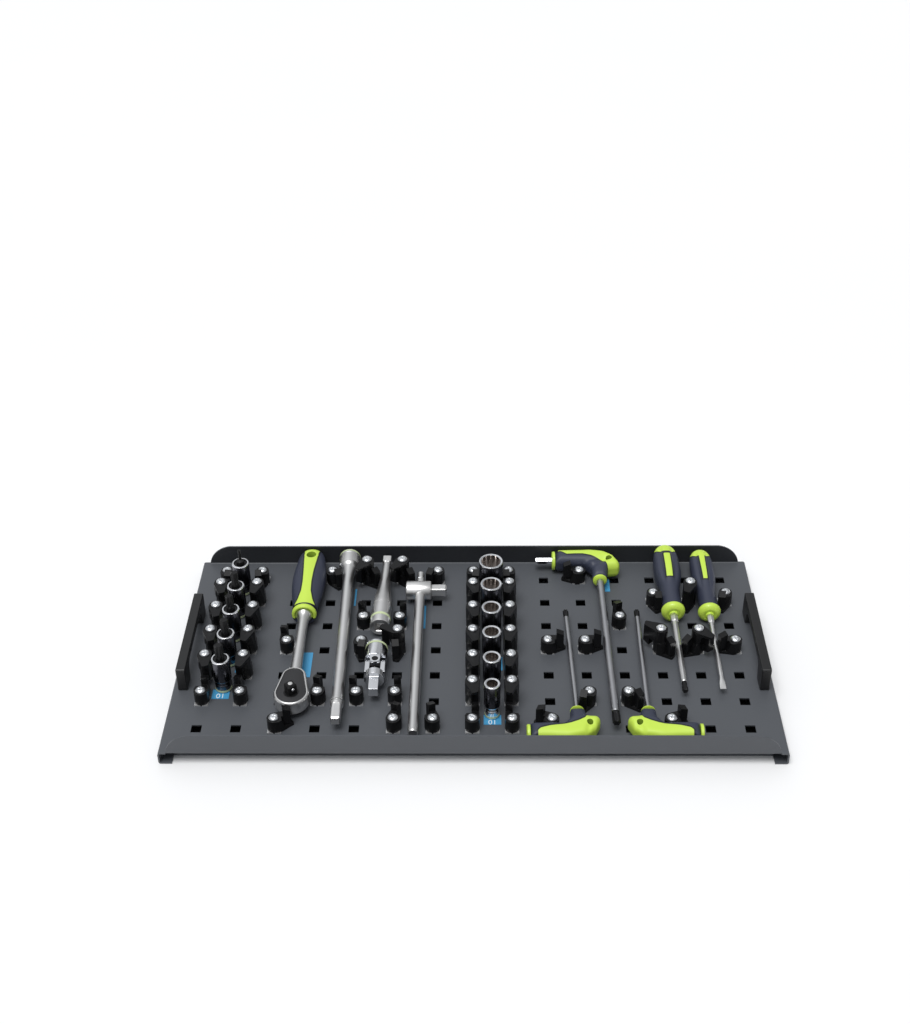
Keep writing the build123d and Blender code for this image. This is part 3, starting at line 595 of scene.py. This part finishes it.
# ---------------------------------------------------------------- ratchet
RATCHET_X, RATCHET_BACK, RATCHET_UP = -175.8, 143.5, 13.5
RATCHET = lying(RATCHET_X, RATCHET_BACK, RATCHET_UP)
RATCHET_FLAT = 0.75
GRIP_END = 98.0
grip_line = ((0.3, 7.8), (1.4, 10.4), (4, 12.3), (11, 14.3), (22, 15.7), (38, 17.3), (54, 17.5), (68, 16.4))
grip_line += ((78, 15.1), (88, 13.5), (95.0, 12.9))
HOLE_AT, HOLE_R = 13.5, 5.0


def applied(piece):
    """Bakes a piece's modifiers into its mesh."""
    shape = shown_mesh(piece)
    piece.modifiers.clear()
    piece.data = shape
    piece.data.shade_smooth()


def inlay_on(piece, distance):
    """Stores a signed distance in millimetres, above zero inside the bright inlay."""
    store = piece.data.attributes.new("inlay", "FLOAT", "POINT")
    store.data.foreach_set("value", np.asarray(distance, np.float32))


def cut_through(piece, axis, radius, start, end):
    """Cuts a round hole with flared rims through a piece and gives its wall a darker green as painted shade.
    """
    rows = [(start, 0.01), (start, radius * 1.6), (start + 1.6, radius * 1.08), (start + 3.2, radius)]
    rows += [(end - 3.2, radius), (end - 1.6, radius * 1.08), (end, radius * 1.6), (end, 0.01)]
    cutter = raise_mesh("cutter", turned_grid(axis, rows, 48), grid_faces(8, 48), navy_grip, "tray")
    cut = piece.modifiers.new("hole", "BOOLEAN")
    cut.object = cutter
    cut.operation = "DIFFERENCE"
    applied(piece)
    bpy.data.objects.remove(cutter)
    piece.data.set_sharp_from_angle(angle=radians(50))
    piece.data.materials.append(hole_shade)
    for face in piece.data.polygons:
        if abs(face.normal.z) < 0.75 and (face.center.xy / MM - Vector(axis[0][:2])).length < radius * 1.12:
            face.material_index = 1


grip_rows = [(0.0, 0.01, "round", RATCHET_FLAT)]
grip_rows += [(along, r, "round", RATCHET_FLAT) for along, r in smooth_line(grip_line, 90)]
grip_rows += [(95.4, 11.4, "round", 0.82), (96.0, 11.0, "round", 0.9), (GRIP_END, 11.0), (GRIP_END, 0.01)]
ratchet_grip = turned(
    "ratchet_grip_skin", RATCHET, grip_rows, navy_grip, "ratchet", "ratchet_grip", columns=120, smooth=60
)
hole_place = np.array((RATCHET_X, RATCHET_BACK - HOLE_AT, DECK + RATCHET_UP))
cut_through(ratchet_grip, (hole_place, UP, BACK), HOLE_R, -12.2, 12.2)
along, across, above = local(ratchet_grip, RATCHET)
# The inlay is a strip along the top, narrow at the waist, with a rim round the hole.
strip = np.interp(along, (0, 12, 26, 44, 62, 76, 88, GRIP_END), (9.0, 8.2, 7.4, 6.1, 5.4, 5.8, 8.6, 13.5))
strip = np.where(above > 0, np.minimum(strip - np.abs(across), above - 1.0), -5.0)
hole_rim = HOLE_R + 3.4 - np.hypot(along - HOLE_AT, across)
inlay_on(ratchet_grip, np.minimum(np.maximum(strip, hole_rim), 95.2 - along))
collar_rows = [(GRIP_END, 0.01), (GRIP_END, 11.0), (98.8, 11.1), (99.4, 12.1), (100.4, 12.8), (102.0, 12.9)]
collar_rows += [(104.0, 12.5), (105.0, 11.6), (105.0, 10.3), (104.4, 9.7), (102.5, 9.4), (102.5, 0.01)]
collar = turned(
    "ratchet_collar_skin", RATCHET, collar_rows, navy_grip, "ratchet", "ratchet_collar",
    columns=120, smooth=50,
)
along, across, above = local(collar, RATCHET)
inlay_on(collar, np.minimum(above + 4.0, along - 99.0))

HEAD_AT = np.array((RATCHET_X, RATCHET_BACK - 229.0))
HEAD_MID = DECK + RATCHET_UP
HEAD_HALF = 8.3
HEAD_BIG, HEAD_SMALL, HEAD_NECK = 17.2, 12.3, 24.4


def pear_rows(levels, columns):
    """Rings of the hull of two circles, at (height, inset, shrink towards the middle).

    A ring point is the circle's centre plus (radius - inset) times the outline's normal.
    """
    normal = np.linspace(0, 2 * pi, columns, endpoint=False)
    seam = np.arccos((HEAD_BIG - HEAD_SMALL) / HEAD_NECK)
    to_neck = np.abs((normal - pi / 2 + pi) % (2 * pi) - pi) < seam
    middle = HEAD_AT + (0, HEAD_NECK / 2)
    rings = []
    for z, inset, keep in levels:
        radius = np.where(to_neck, HEAD_SMALL, HEAD_BIG) - inset
        flat = radius[:, None] * np.column_stack((np.cos(normal), np.sin(normal)))
        flat[:, 1] += np.where(to_neck, HEAD_NECK, 0.0)
        flat = middle + (flat + HEAD_AT - middle) * keep
        rings.append(np.column_stack((flat, np.full(columns, HEAD_MID + z))))
    return np.array(rings)


RECESS, AROUND = 6.9, 128  # level of the recess for the cover, points round the head
head_levels = [(-HEAD_HALF, 3.4, 0), (-HEAD_HALF, 3.4, 1), (-7.4, 1.6, 1), (-5.6, 0.5, 1), (-3.0, 0.1, 1)]
head_levels += [(0.0, 0.0, 1), (5.8, 0.0, 1), (7.5, 0.5, 1), (8.2, 1.3, 1), (HEAD_HALF, 1.8, 1)]
head_levels += [(8.2, 2.3, 1), (RECESS, 2.6, 1), (RECESS, 2.6, 0)]
head = pear_rows(head_levels, AROUND)
shank_rows = [(102.6, 0.01), (102.6, 9.2), (104.4, 8.8), (106.5, 7.7), (109, 6.5), (113, 5.6), (122, 5.2)]
shank_rows += [(132, 5.1), (148, 5.25), (168, 5.65), (186, 5.95), (196, 6.1), (200, 6.1), (200, 0.01)]
shank = turned_grid(RATCHET, shank_rows, AROUND)
head_faces = grid_faces(len(head_levels), AROUND)
shank_faces = grid_faces(len(shank_rows), AROUND, len(head_levels) * AROUND)
head_points, head_quads = np.concatenate((head, shank)), np.concatenate((head_faces, shank_faces))
ratchet_body = raise_mesh("ratchet_body_skin", head_points, head_quads, satin, "ratchet")
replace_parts(ratchet_body, "ratchet_body")
cover_levels = [(RECESS, 2.7, 0), (RECESS, 2.7, 1), (7.5, 2.7, 1), (7.7, 3.1, 1), (7.7, 3.1, 0)]
cover_faces = grid_faces(len(cover_levels), AROUND)
cover = raise_mesh("ratchet_cover_skin", pear_rows(cover_levels, AROUND), cover_faces, cover_black, "ratchet")
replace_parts(cover, "ratchet_cover")
DRIVE_TURN = -0.66  # how far the drive square stands turned from the handle's line, in radians
SPINDLE = (np.array((*HEAD_AT, HEAD_MID)), UP, np.array((sin(DRIVE_TURN), cos(DRIVE_TURN), 0)))
drive_rows = [(5.0, 0.01), (5.0, 7.5), (7.6, 7.5), (8.0, 7.1), (8.0, DRIVE, "square")]
drive_rows += [(17.6, DRIVE, "square"), (19.2, DRIVE - 1.1, "square"), (19.2, 0.01)]
turned("ratchet_drive_skin", SPINDLE, drive_rows, black_oxide, "ratchet_drive", "ratchet_drive", smooth=30)
spot_rows = [(19.0, 0.01), (19.0, 2.3), (19.3, 2.2), (19.45, 1.6), (19.45, 0.01)]
turned("ratchet_drive_spot", SPINDLE, spot_rows, satin, "ratchet_drive", columns=40, smooth=30)
dressed("ratchet_lever", black_oxide, bevel=0.6)


def ball(name, centre, radius, facing, body):
    """Spring ball that stands out of a drive square: half a sphere along its facing direction."""
    facing = np.array(facing, float)
    facing /= np.linalg.norm(facing)
    up = np.cross(facing, (0.3, 0.2, 0.9))
    axis = (np.array(centre, float), facing, up / np.linalg.norm(up))
    turn = np.linspace(0, pi / 2, 8)
    rows = [(0.0, 0.01)] + [(radius * 0.6 * sin(t), radius * cos(t) + 0.01) for t in turn]
    return turned(name, axis, rows, chrome, body, columns=32)


ball_at = SPINDLE[0] + (0, 0, 14.0) - SPINDLE[2] * (DRIVE - 0.1)
ball("ratchet_ball", ball_at, 1.7, -SPINDLE[2], "ratchet_drive")


# ---------------------------------------------------------------- extensions and universal joint
def square_end(start, length, radius):
    """Rows of a drive square that begins at a shoulder of the given radius."""
    end = start + length
    rows = [(start, radius), (start + 0.4, DRIVE * 1.2), (start + 1.2, DRIVE, "square")]
    return rows + [(end - 1.5, DRIVE, "square"), (end, DRIVE - 1.0, "square"), (end, 0.01)]


def female_end(radius):
    """Rows of a drive socket that opens at distance zero, from its floor to the outside."""
    rows = [(11.0, 0.01), (11.0, DRIVE - 0.1, "square"), (0.8, DRIVE, "square"), (0.0, DRIVE + 0.7, "square")]
    return rows + [(0.0, radius - 1.0), (0.3, radius - 0.3), (1.0, radius)]


LONG = lying(-134.5, 138.5, 13.8, 0.82)
LONG_R = 11.3
long_rows = female_end(LONG_R) + [(4.2, LONG_R), (4.5, 11.0), (5.2, 11.0), (5.5, LONG_R), (17.0, LONG_R)]
long_rows += [(18.4, 10.9)] + smooth_line(((18.8, 10.2), (20.5, 8.8), (25, 7.4), (30, 6.5), (36, 5.85)), 14)
long_rows += [(228.0, 5.8), (228.4, 6.6), (230.4, 6.6), (230.8, 5.6), (231.6, 5.6), (232.0, 6.6)]
long_rows += [(234.6, 6.6)] + square_end(235.0, 21.8, 6.2)
turned("long_extension_skin", LONG, long_rows, satin, "long_extension", "long_extension", smooth=30)
size_ring("long_extension_band", LONG, "long_extension", 1.2, 2.8, 11.31)

SHORT = lying(-93.5, 136.0, 13.8, -1.2)
SHORT_R, SHORT_END = 10.4, 116.0
short_rows = [(0.0, 0.01), (0.0, DRIVE - 1.0, "square"), (1.5, DRIVE, "square"), (10.4, DRIVE, "square")]
short_rows += [(11.2, 4.4)]
short_rows += smooth_line(((12, 4.4), (28, 5.0), (44, 5.9), (58, 7.2), (68, 8.6), (80, 9.9)), 24)
short_rows += [(82.6, 10.0), (83.0, 9.4), (84.0, 9.4), (84.4, 10.1), (92, SHORT_R), (104, SHORT_R)]
short_rows += [(SHORT_END - 1.0, SHORT_R), (SHORT_END - 0.3, 10.1), (SHORT_END, 9.5)]
short_rows += [(SHORT_END, DRIVE + 0.7, "square"), (SHORT_END - 0.8, DRIVE, "square")]
short_rows += [(SHORT_END - 10.8, DRIVE - 0.1, "square"), (SHORT_END - 10.8, 0.01)]
turned("short_extension_skin", SHORT, short_rows, satin, "short_extension", "short_extension", smooth=30)
size_ring("short_extension_band", SHORT, "short_extension", 103.0, 106.4, 10.35, 0.17)

JOINT = lying(-97.0, -11.0, 13.8)
dressed("joint_socket", chrome, bevel=0.7, segments=3)
dressed("joint_cross", black_oxide, bevel=0.5)
dressed("joint_drive", chrome, bevel=0.7, segments=3)
size_ring("joint_band", JOINT, "joint_socket", 2.4, 4.6, 11.2, 0.25)

# ---------------------------------------------------------------- T-bar
ROD_UP, ROD_R, ROD_END = 13.2, 5.2, 243.0
ROD = lying(-56.2, 109.0, ROD_UP)
rod_rows = [(0.0, 0.01), (0.0, 3.2), (0.8, 4.0), (9.6, 4.0), (10.0, 3.5), (11.4, 3.5), (12.0, 4.6)]
rod_rows += [(12.6, ROD_R), (ROD_END - 1.2, ROD_R), (ROD_END, ROD_R - 1.0), (ROD_END, 0.01)]
turned("tbar_rod_skin", ROD, rod_rows, satin, "tbar", "tbar_rod", smooth=30)
ball("tbar_ball", (-58.4, 99.5, DECK + ROD_UP + 2.6), 1.6, (-0.6, 0, 0.8), "tbar")
ACROSS = (np.array((-71.0, 81.0, DECK + ROD_UP)), TO_RIGHT, UP)
TUBE_R, TUBE_END = 10.0, 26.5
tube_rows = [(0.0, 0.01), (0.0, 8.8), (0.6, 9.7), (1.4, TUBE_R), (25.4, TUBE_R), (26.2, 9.6), (TUBE_END, 8.8)]
tube_rows += square_end(TUBE_END, 16.5, 7.0)
turned("tbar_head_skin", ACROSS, tube_rows, satin, "tbar_head", "tbar_head", smooth=30)


# ---------------------------------------------------------------- keys
# Sizes of the big key, as the part's own, and the small keys' share of them.
KEY_ARM, KEY_BACK, KEY_END, KEY_NECK = 46.5, 43.4, 20.0, 7.5
KEY_HOLE_BACK, KEY_HOLE_SIDE, KEY_HOLE_R = 25.5, 11.0, 3.3
SMALL_KEY, SMALL_LONGER = 0.92, 1.13
RING = 3.5
# A longer arm is stretched beyond FREE from the neck, and leans towards the tip by up to LEAN.
FREE, LEAN = 15.0, 12.0
# The inlay's edge as stations: distance across the neck's line, distance along it.
BIG_SEAM = (
    (-23, -10, -9.2, -6.6, 0, 8.4, 17, 26, 34, 41),
    (0, -8, -13, -18.5, -24.5, -29, -31.5, -31.5, -31, -37),
)
SMALL_SEAM = (
    (-23, -10, -9.2, -6.6, 0, 8.4, 17, 30, 40, 46),
    (0, -8, -13, -18.5, -22.5, -26, -27.5, -29.5, -32.5, -38),
)


def key_axis(x, y, z, ahead, hand, swing):
    """Neck plane of a key: run towards the tip, side towards the long arm, up or down."""
    run = np.array((sin(radians(swing)), ahead * cos(radians(swing)), 0))
    return np.array((x, y, DECK + z)), run, np.array((0, 0, hand))


def outline_gap(places, corners, rims):
    """Plan distance from each place to the nearest edge of a rim, the hole's short edges left out.

    Each place is dropped onto each edge, with its share along the edge held between 0 and 1.
    """
    first, second = corners[rims[:, 0], :2], corners[rims[:, 1], :2]
    run = second - first
    length = np.maximum((run**2).sum(1), 1e-9)
    away = places[:, None, :2] - first
    share = np.clip((away * run).sum(2) / length, 0, 1)
    gap = np.hypot(*np.moveaxis(away - share[..., None] * run, 2, 0))
    return gap[:, length >= 9.0].min(1)


def pillowed(node, axis, size, thick, material, longer):
    """Copy of a flat-sided key handle in small voxels, its hole closed and cut again at the end.

    With d the distance to the plan outline and r the rounding, a height is multiplied by
    0.40 + 0.60 * the root of 1 - (1 - d / r) squared, and the section narrows towards the neck.
    """
    piece = dressed(node, material, bevel=0)
    work = bmesh.new()
    work.from_mesh(piece.data)
    wall = [f for f in work.faces if abs(f.normal.z) < 0.1 and f.calc_area() < 60 * MM * MM]
    bmesh.ops.delete(work, geom=wall, context="FACES_ONLY")
    bmesh.ops.holes_fill(work, edges=[e for e in work.edges if e.is_boundary])
    work.to_mesh(piece.data)
    work.free()
    corners = places_of(piece.data)
    rims = np.array([edge.vertices[:] for edge in piece.data.edges])
    rims = rims[(np.abs(corners[rims, 2] - axis[0][2] - thick) < 0.1).all(1)]
    remesh = piece.modifiers.new("voxels", "REMESH")
    remesh.mode = "VOXEL"
    remesh.voxel_size = 0.8 * MM
    applied(piece)
    places = places_of(piece.data)
    along, side, _ = local(piece, axis)
    flip = np.cross(axis[2], axis[1])
    rounding = np.interp(side / size, (2, 16), (0.42, 0.78)) * thick
    depth = np.minimum(outline_gap(places, corners, rims) / rounding, 1)
    swell = 0.40 + 0.60 * np.sqrt(1 - (1 - depth) ** 2)
    slim = np.interp(along / size, (-20, -7, 0), (1.0, 0.80, 0.66))
    places[:, 2] = axis[0][2] + (places[:, 2] - axis[0][2]) * swell * slim
    far = np.maximum(side - FREE * size, 0)
    places += np.outer(far * (longer - 1), flip)
    places += np.outer(np.minimum(far / (FREE * size), 1) * (longer - 1) * LEAN, axis[1])
    move_to(piece.data, places)
    smooth = piece.modifiers.new("rounding", "SMOOTH")
    smooth.factor = 0.6
    smooth.iterations = 34
    applied(piece)
    hole_place = axis[0] - KEY_HOLE_BACK * size * axis[1] - KEY_HOLE_SIDE * size * flip
    cut_through(piece, (hole_place, UP, BACK), KEY_HOLE_R * size, -2 * thick, 2 * thick)
    return piece


def key(name, axis, size, thick, shank_r, reach, tip_r, tip, stub=0.0, longer=1.0):
    """Handle with a bright inlay along its back, two rings, a round shank and a dark star tip.

    Thick is half the handle's thickness, reach the length from the neck to the tip's end, tip the
    dark part of it, stub a second short hexagon at the arm's end, and longer stretches the arm.
    """
    grip = pillowed(f"{name}_grip", axis, size, thick, navy_grip, longer)
    along, side, _ = local(grip, axis)
    u, w = along / size, side / size
    seam = np.interp(w, *(BIG_SEAM if stub else SMALL_SEAM))
    inlay_on(grip, np.maximum(np.minimum(seam - u, 44 - w), -9.6 - w) * 0.8)
    run, flip = axis[1], np.cross(axis[2], axis[1])
    front = (axis[0], run, UP)
    neck = KEY_NECK * size
    deep = 1.0 if stub else 0.5
    rows = [(0.0, 0.01), (0.0, neck - 0.6), (0.5 * deep, neck), (2.3 * deep, neck - 0.2)]
    rows += [(3.2 * deep, neck - 1.4), (RING * deep, neck - 2.4), (RING * deep, 0.01)]
    turned(f"{name}_neck_ring", front, rows, lime_plastic, name, f"{name}_rings")
    end_r = KEY_END * size / 2
    behind = end_r - KEY_BACK * size + (longer - 1) * LEAN
    beside = (FREE + (KEY_ARM - FREE) * longer) * size
    arm = (axis[0] + behind * run + beside * flip, flip, UP)
    rows = [(0.0, 0.01), (0.0, end_r - 0.4), (0.5, end_r), (2.7, end_r), (3.3, end_r - 0.8)]
    rows += [(RING, end_r - 2.5), (RING, 0.01)]
    turned(f"{name}_end_ring", arm, rows, lime_plastic, name)
    if stub:
        rows = [(3.0, 0.01), (3.0, 3.6, "hexagon"), (stub - 0.8, 3.6, "hexagon")]
        rows += [(stub, 2.9, "hexagon"), (stub, 0.01)]
        turned(f"{name}_stub", arm, rows, chrome, name)
    dark = reach - tip
    rows = [(3.4 * deep, 0.01), (3.4 * deep, shank_r), (dark - 0.6, shank_r), (dark, tip_r * 0.98)]
    rows += [(dark, 0.01)]
    turned(f"{name}_shank_skin", front, rows, shank_steel, name, f"{name}_shank", columns=64)
    rows = [(dark - 0.2, 0.01), (dark - 0.2, tip_r * 1.02), (dark + 3.0, tip_r * 1.02)]
    rows += [(dark + 3.6, tip_r, "star"), (reach - 0.8, tip_r, "star"), (reach, tip_r * 0.75, "star")]
    rows += [(reach, 0.01)]
    turned(f"{name}_tip", front, rows, black_oxide, name, columns=72)


key("big_key", key_axis(135.5, 100.0, 12.3, -1, -1, 0.5), 1.0, 10.8, 4.0, 219.0, 3.6, 15.0, stub=21.5)
for name, axis in (
    ("key_1", key_axis(100.6, -101.0, 10.5, 1, 1, -1.6)),
    ("key_2", key_axis(168.8, -101.0, 10.5, 1, -1, 0.6)),
):
    key(name, axis, SMALL_KEY, 9.9, 2.6, 151.0, 2.6, 11.0, longer=SMALL_LONGER)


# ---------------------------------------------------------------- screwdrivers
FLUTE, CAP = 0.10, 5.5  # depth of a flute as a share of the radius, length of the bright cap
DARK_TIP, NO_DARK_TIP = 203.3, 229.0  # where the dark part begins, and a place beyond every blade


def screwdriver(name, axis, line, bulb, bolster, blade, tip, strip, dark_from):
    """Grip through its stations with a bright top strip and cap, bulb, hexagon bolster and blade.

    The grip's six flutes draw each point towards the axis by the sixth power of |sin(3 * angle)|.
    The strip is its start, end, and half width at each of them.
    """
    grip_end = line[-1][0]
    rows = [(0.0, 0.01), *smooth_line(line, 96), (grip_end, 0.01)]
    grip = turned(f"{name}_grip_skin", axis, rows, navy_grip, name, f"{name}_grip", columns=120, smooth=60)
    along, across, above = local(grip, axis)
    reach = np.hypot(across, above).clip(1e-6)
    fold = np.abs(across / reach * (4 * (above / reach) ** 2 - 1))
    flute = fold**6 * np.interp(along, (5, 14, 52, 66), (0, 1, 1, 0)) * FLUTE
    set_back = axis[0] + np.outer(along, axis[1]) + np.outer(above * (1 - flute), axis[2])
    set_back += np.outer(across * (1 - flute), np.cross(axis[2], axis[1]))
    move_to(grip.data, set_back)
    first, last, wide, narrow = strip
    half = np.interp(along, (first, last), (wide, narrow))
    cap = CAP + np.maximum(above, 0) * 0.85 - along
    top = np.minimum(np.minimum(along - first, last - along), half - np.abs(across))
    inlay_on(grip, np.maximum(cap, np.where(above > 0, top, -5.0)))
    rows = [(grip_end - 0.2, 0.01), *[(grip_end + d, r) for d, r in bulb], (grip_end + bulb[-1][0], 0.01)]
    turned(f"{name}_bulb", axis, rows, lime_plastic, name, f"{name}_collar", smooth=60)
    start = grip_end + bulb[-1][0]
    rows = [(start - 1.0, 0.01)] + [(start + d, r, s) for d, r, s in bolster + blade] + tip
    skin, dark = f"{name}_blade_skin", (black_oxide, dark_from, ANY_REACH * 3, ANY_REACH, 0.0)
    turned(skin, axis, rows, satin, name, f"{name}_blade", columns=72, smooth=30, bands=(dark,))


STAR = lying(208.0, 144.6, 17.0, 0, 2.1)
star_line = ((0.3, 6.9), (1.6, 9.2), (4, 10.8), (9, 12.5), (16, 13.7), (28, 14.4), (44, 14.3), (54, 12.8))
star_line += ((64, 10.4), (74, 9.7), (84, 9.6), (96, 10.4))
# Rows of bulb, bolster and blade count from the grip's end, those of the tip from its start.
bulb = ((0.0, 10.6), (0.4, 11.6), (1.6, 12.3), (3.6, 12.35), (5.4, 11.6), (7.0, 10.0), (8.0, 8.2), (8.2, 7.2))
bulb += ((7.8, 6.4), (7.7, 4.8), (9.5, 4.2))
bolster = [(-1.0, 3.6, "hexagon"), (9.6, 3.6, "hexagon"), (10.6, 3.0, "hexagon"), (11.0, 2.8, "round")]
blade = [(12.0, 2.8, "hexagon"), (84.0, 2.8, "hexagon")]
tip = [(202.8, 2.9), (203.4, 2.5), (209.5, 2.5), (210.4, 2.7, "star"), (215.4, 2.7, "star")]
tip += [(216.0, 2.2, "star"), (216.0, 0.01)]
screwdriver("torx_driver", STAR, star_line, bulb, bolster, blade, tip, (19.5, 57.0, 4.3, 4.1), DARK_TIP)

SLOT = lying(245.5, 138.4, 15.8, 0, 2.1)
slot_line = ((0.3, 6.4), (1.6, 8.5), (4, 10.0), (8, 11.3), (16, 12.3), (28, 12.6), (44, 12.5), (53, 11.4))
slot_line += ((62, 10.0), (72, 9.5), (81, 9.4), (90, 10.0))
bulb = ((0.0, 10.1), (0.4, 11.0), (1.6, 11.75), (3.6, 11.8), (5.2, 11.0), (6.8, 9.4), (7.8, 7.6), (8.0, 6.6))
bulb += ((7.6, 5.8), (7.5, 4.4), (9.5, 3.8))
bolster = [(-1.0, 3.1, "hexagon"), (9.6, 3.1, "hexagon"), (10.6, 2.6, "hexagon"), (11.0, 2.3, "round")]
blade = [(12.0, 2.2, "round"), (80.0, 2.2, "round")]
tip = [(190.6, 2.1, "round", 0.95), (197.6, 2.7, "square", 0.45), (202.6, 2.95, "square", 0.24)]
tip += [(205.6, 2.95, "square", 0.14), (205.6, 0.01)]
screwdriver("slot_driver", SLOT, slot_line, bulb, bolster, blade, tip, (2.0, 53.0, 4.0, 3.0), NO_DARK_TIP)

# ---------------------------------------------------------------- labels on the deck
labels = (
    ((-249.0, -66.0), (17.0, 13.0)),
    ((-237.0, -26.0), (5.0, 16.0)),
    ((19.3, -102.0), (17.0, 13.0)),
    ((27.4, -21.0), (5.0, 20.0)),
    ((-169.6, -22.5), (13.0, 37.0)),
    ((-125.9, 85.0), (1.8, 28.0)),
    ((-56.0, 52.5), (12.5, 37.0)),
    ((141.0, 105.0), (11.5, 21.0)),
)
plates("size_labels", *zip(*labels), 0.4, DECK + 0.03, label_blue)


def number_on(name, text, x, y, height):
    """Plain raised figures that lie on a label and are read from behind the tray."""
    curve = bpy.data.curves.new(name, "FONT")
    curve.body = text
    curve.size = height * MM
    curve.align_x = "CENTER"
    curve.align_y = "CENTER"
    curve.extrude = 0.05 * MM
    made = link(name + "_line", curve)
    mesh = shown_mesh(made)
    bpy.data.objects.remove(made)
    mesh.transform(Matrix.Translation((x * MM, y * MM, (DECK + 0.5) * MM)) @ Matrix.Rotation(pi, 4, "Z"))
    weld(mesh, 0.01)
    return new_piece(name, mesh, label_white, "tray")


number_on("label_number_1", "10", -249.0, -68.2, 9.0)
number_on("label_number_2", "10", 19.3, -105.0, 8.5)

# ---------------------------------------------------------------- floor, light and camera
# The floor's corners are in metres.
floor_mesh = bpy.data.meshes.new("floor")
floor_mesh.from_pydata([(-6, -4, 0), (6, -4, 0), (6, 9, 0), (-6, 9, 0)], [], [(0, 1, 2, 3)])
floor_mesh.materials.append(pale_floor)
floor = link("floor", floor_mesh)

world = bpy.data.worlds.new("studio")
world.use_nodes = True
sky = world.node_tree
facing = add_node(sky, "TexCoord")
parts = add_node(sky, "SeparateXYZ")
# Dark above the horizon and bright overhead, so that round metal shows a light top and dark flanks.
ramp = add_node(sky, "ValToRGB")
ramp.color_ramp.elements[0].position = 0.04
ramp.color_ramp.elements[0].color = (0.055, 0.057, 0.062, 1)
ramp.color_ramp.elements[1].position = 0.48
ramp.color_ramp.elements[1].color = (0.95, 0.97, 1.0, 1)
sky.links.new(facing.outputs["Generated"], parts.inputs["Vector"])
sky.links.new(parts.outputs["Z"], ramp.inputs["Fac"])
across = add_node(sky, "MapRange", {"From Min": -1.0})
# The room is brightest a little left of the middle and dims to the right.
slant = add_node(sky, "ValToRGB")
slant.color_ramp.interpolation = "EASE"
for place, level in ((0.18, 0.52), (0.36, 0.82), (0.50, 0.70), (0.66, 0.42)):
    stop = slant.color_ramp.elements.new(place)
    stop.color = (level, level, level, 1)
for spare in (0, -1):
    slant.color_ramp.elements.remove(slant.color_ramp.elements[spare])
sky.links.new(parts.outputs["X"], across.inputs["Value"])
sky.links.new(across.outputs["Result"], slant.inputs["Fac"])

# The camera sees plain white beyond the floor, and so does bright metal close above the horizon.
rays = add_node(sky, "LightPath")
low = add_node(sky, "MapRange", {"From Min": 0.10, "From Max": 0.06})
sky.links.new(parts.outputs["Z"], low.inputs["Value"])
mirrored = add_node(sky, "Math", operation="ADD")
sky.links.new(rays.outputs["Is Glossy Ray"], mirrored.inputs[0])
sky.links.new(rays.outputs["Is Transmission Ray"], mirrored.inputs[1])
white = add_node(sky, "Math", operation="MULTIPLY_ADD", use_clamp=True)
sky.links.new(mirrored.outputs["Value"], white.inputs[0])
sky.links.new(low.outputs["Result"], white.inputs[1])
sky.links.new(rays.outputs["Is Camera Ray"], white.inputs[2])
for kind, source, target, (first, second, result), plain in (
    ("RGBA", ramp, "Color", (6, 7, 2), (1, 1, 1, 1)),
    ("FLOAT", slant, "Strength", (2, 3, 0), 1.0),
):
    choice = add_node(sky, "Mix", {second: plain}, data_type=kind)
    sky.links.new(white.outputs["Value"], choice.inputs["Factor"])
    sky.links.new(source.outputs["Color"], choice.inputs[first])
    sky.links.new(choice.outputs[result], sky.nodes["Background"].inputs[target])
bpy.context.scene.world = world

sun = bpy.data.lights.new("overhead_softbox", "SUN")
sun.energy = 2.0
sun.angle = radians(34)
overhead = link("overhead_softbox", sun)
overhead.rotation_euler = Vector((-0.16, -0.26, 0.95)).to_track_quat("Z", "Y").to_euler()

# The camera is solved from the hole grid, and placed, aimed and rolled in the tray's own frame.
CAMERA_AT = np.array((10.26, -1140.10, 999.49 + DECK))
PITCH_DOWN, YAW, ROLL = radians(35.887), radians(-1.3235), radians(-0.9062)
FOCAL_PX, TALL_PX = 1477.03, 1024.0
ahead = np.array((sin(YAW) * cos(PITCH_DOWN), cos(YAW) * cos(PITCH_DOWN), -sin(PITCH_DOWN)))
level = np.array((cos(YAW), -sin(YAW), 0.0))
upward = np.cross(level, ahead)
right = level * cos(ROLL) + upward * sin(ROLL)
top = -level * sin(ROLL) + upward * cos(ROLL)
camera_data = bpy.data.cameras.new("camera")
camera_data.sensor_width = 36.0
camera_data.lens = FOCAL_PX / TALL_PX * 36.0
camera_data.clip_start, camera_data.clip_end = 0.05, 50.0
camera = link("camera", camera_data)
turn = Matrix((right, top, -ahead)).transposed().to_4x4()
camera.matrix_world = Matrix.Translation(CAMERA_AT * MM) @ turn
bpy.context.scene.camera = camera
bpy.context.scene.view_settings.view_transform = "Standard"
